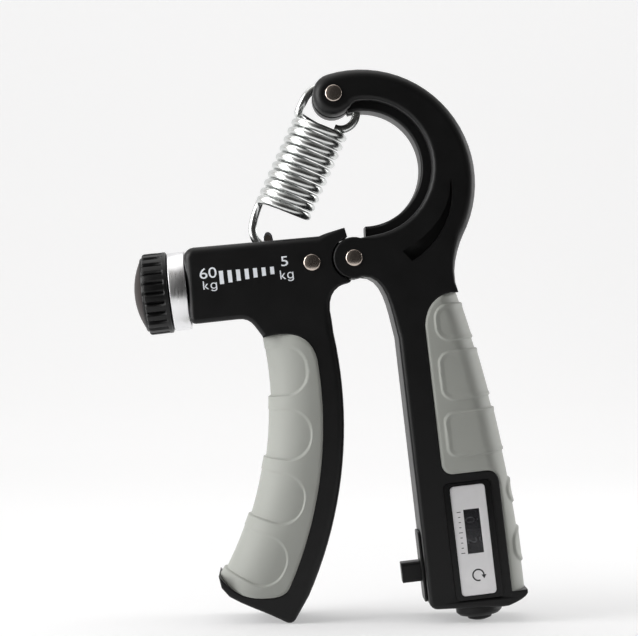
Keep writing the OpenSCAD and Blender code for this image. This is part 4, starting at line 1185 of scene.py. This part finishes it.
def aim(obj, target):
    """Turns a lamp or the camera towards a place."""
    obj.rotation_euler = (target - obj.location).to_track_quat("-Z", "Y").to_euler()


class HANDGRIP_OT_stage(bpy.types.Operator):
    """Sets the pale floor, the soft lights, the world and the camera"""

    bl_idname = "handgrip.stage"
    bl_label = "Stage"

    def execute(self, context):
        scene = context.scene
        scene.view_settings.view_transform = "Standard"
        backdrop = tuple(looks().backdrop) + (1.0,)

        paper = Finish(
            "backdrop_paper", Roughness=0.9, Specular_IOR_Level=0.1, Emission_Strength=1.0
        )
        tones = shade(backdrop, 0.995), shade(backdrop, 1.005)
        paper.put("Base Color", paper.mix(paper.noise(3, 1), *tones))
        # Painted light: the paper glows, more with its distance along the floor and up the wall,
        # and near the object the glow also lightens the object's shadow on the floor
        reach = 1.6
        depth, climb = (
            paper.node("ShaderNodeSeparateXYZ", {}, {"Vector": paper.place}, axis) for axis in "YZ"
        )
        glow = ((0.02, 0.37), (0.19, 0.52), (0.5, 0.62), (0.8, 0.66), (1.0, 0.68))
        stops = [(t, (e, e, e, 1)) for t, e in glow]
        paper.put("Emission Color", paper.ramp((depth + climb) * (1 / reach), *stops))
        bm = bmesh.new()
        z = cad_box[0][2]
        front, back, bend, top, half_width = -0.25, 0.7, 0.5, 2.4, 2.2
        line = [(front, z), (back, z)]
        for a in (math.radians(degrees) for degrees in range(9, 91, 9)):
            line.append((back + bend * math.sin(a), z + bend - bend * math.cos(a)))
        line.append((back + bend, top))
        verts = [bm.verts.new((-half_width, y, h)) for y, h in line]
        edges = [bm.edges.new(pair) for pair in zip(verts, verts[1:])]
        grown = bmesh.ops.extrude_edge_only(bm, edges=edges)["geom"]
        right = [g for g in grown if isinstance(g, bmesh.types.BMVert)]
        bmesh.ops.translate(bm, vec=(2 * half_width, 0, 0), verts=right)
        for face in bm.faces:
            face.smooth = True
            if face.normal.z < 0 or face.normal.y > 0.5:
                face.normal_flip()
        mesh = bpy.data.meshes.new("backdrop")
        bm.to_mesh(mesh)
        bm.free()
        mesh.materials.append(paper.material)
        floor = link("backdrop", mesh)

        for name, place, size, power in (
            ("left_softbox", (-0.36, -0.12, 0.17), (0.25, 0.45), 2.1),
            ("right_softbox", (0.45, 0.1, 0.17), (0.3, 0.4), 1.4),
            ("top_softbox", (-0.1, 0.1, 0.85), (0.9, 0.7), 1.9),
        ):
            lamp = bpy.data.lights.new(name, "AREA")
            lamp.shape = "RECTANGLE"
            lamp.size, lamp.size_y = size
            lamp.energy = power
            light = link(name, lamp)
            light.location = place
            aim(light, Vector((0.0, 0.0, 0.08)))

        # The world is bright behind the object and dark in front of it, but pale to the camera
        world = bpy.data.worlds.new("studio")
        scene.world = world
        world.use_nodes = True
        nodes, links = world.node_tree.nodes, world.node_tree.links
        sky, seen = nodes["Background"], nodes.new("ShaderNodeBackground")
        way, lit = nodes.new("ShaderNodeTexCoord"), nodes.new("ShaderNodeVectorMath")
        fade = nodes.new("ShaderNodeMapRange")
        span = {"From Min": -0.8, "From Max": 0.1, "To Min": 0.04, "To Max": 0.6}
        for name, value in span.items():
            fade.inputs[name].default_value = value
        lit.operation = "DOT_PRODUCT"
        lit.inputs[1].default_value = (-0.4, 0.92, 0.0)
        sky.inputs["Color"].default_value = (1.0, 0.97, 0.94, 1)
        seen.inputs["Color"].default_value = (0.88, 0.88, 0.885, 1)
        path, choice = nodes.new("ShaderNodeLightPath"), nodes.new("ShaderNodeMixShader")
        links.new(way.outputs["Generated"], lit.inputs[0])
        links.new(lit.outputs["Value"], fade.inputs["Value"])
        links.new(fade.outputs[0], sky.inputs["Strength"])
        links.new(path.outputs["Is Camera Ray"], choice.inputs[0])
        links.new(sky.outputs[0], choice.inputs[1])
        links.new(seen.outputs[0], choice.inputs[2])
        links.new(choice.outputs[0], nodes["World Output"].inputs["Surface"])

        target = Vector((-0.003, 0, 0.0856))
        turn, distance = sizes().turn, sizes().distance
        camera_data = bpy.data.cameras.new("camera")
        camera_data.sensor_width = 36
        camera_data.lens = sizes().lens
        camera = link("camera", camera_data)
        camera.location = target - distance * Vector((math.sin(turn), math.cos(turn), 0))
        aim(camera, target)
        scene.camera = camera
        return {"FINISHED"}


class HANDGRIP_PT_panel(bpy.types.Panel):
    """Lists the steps that dress the hand grip"""

    bl_idname = "HANDGRIP_PT_panel"
    bl_label = "Hand grip"
    bl_space_type = "VIEW_3D"
    bl_region_type = "UI"
    bl_category = "Hand grip"

    def draw(self, context):
        column = self.layout.column()
        for group in (context.scene.handgrip_looks, context.scene.handgrip_sizes):
            for prop in group.bl_rna.properties:
                if prop.identifier not in ("rna_type", "name"):
                    column.prop(group, prop.identifier)
        for operator in OPERATORS:
            column.operator(operator.bl_idname)


OPERATORS = (
    HANDGRIP_OT_stage,
    HANDGRIP_OT_moulded_arms,
    HANDGRIP_OT_soft_grips,
    HANDGRIP_OT_small_parts,
    HANDGRIP_OT_reset_knob,
    HANDGRIP_OT_springs,
    HANDGRIP_OT_rivets,
    HANDGRIP_OT_knob,
    HANDGRIP_OT_printing,
    HANDGRIP_OT_digits,
)
CLASSES = (HANDGRIP_PG_looks, HANDGRIP_PG_sizes) + OPERATORS + (HANDGRIP_PT_panel,)


def register():
    for cls in CLASSES:
        bpy.utils.register_class(cls)
    bpy.types.Scene.handgrip_looks = PointerProperty(type=HANDGRIP_PG_looks)
    bpy.types.Scene.handgrip_sizes = PointerProperty(type=HANDGRIP_PG_sizes)


def unregister():
    del bpy.types.Scene.handgrip_sizes
    del bpy.types.Scene.handgrip_looks
    for cls in reversed(CLASSES):
        bpy.utils.unregister_class(cls)


def main():
    register()
    for operator in OPERATORS:
        group, name = operator.bl_idname.split(".")
        getattr(getattr(bpy.ops, group), name)()


if __name__ == "__main__":
    main()
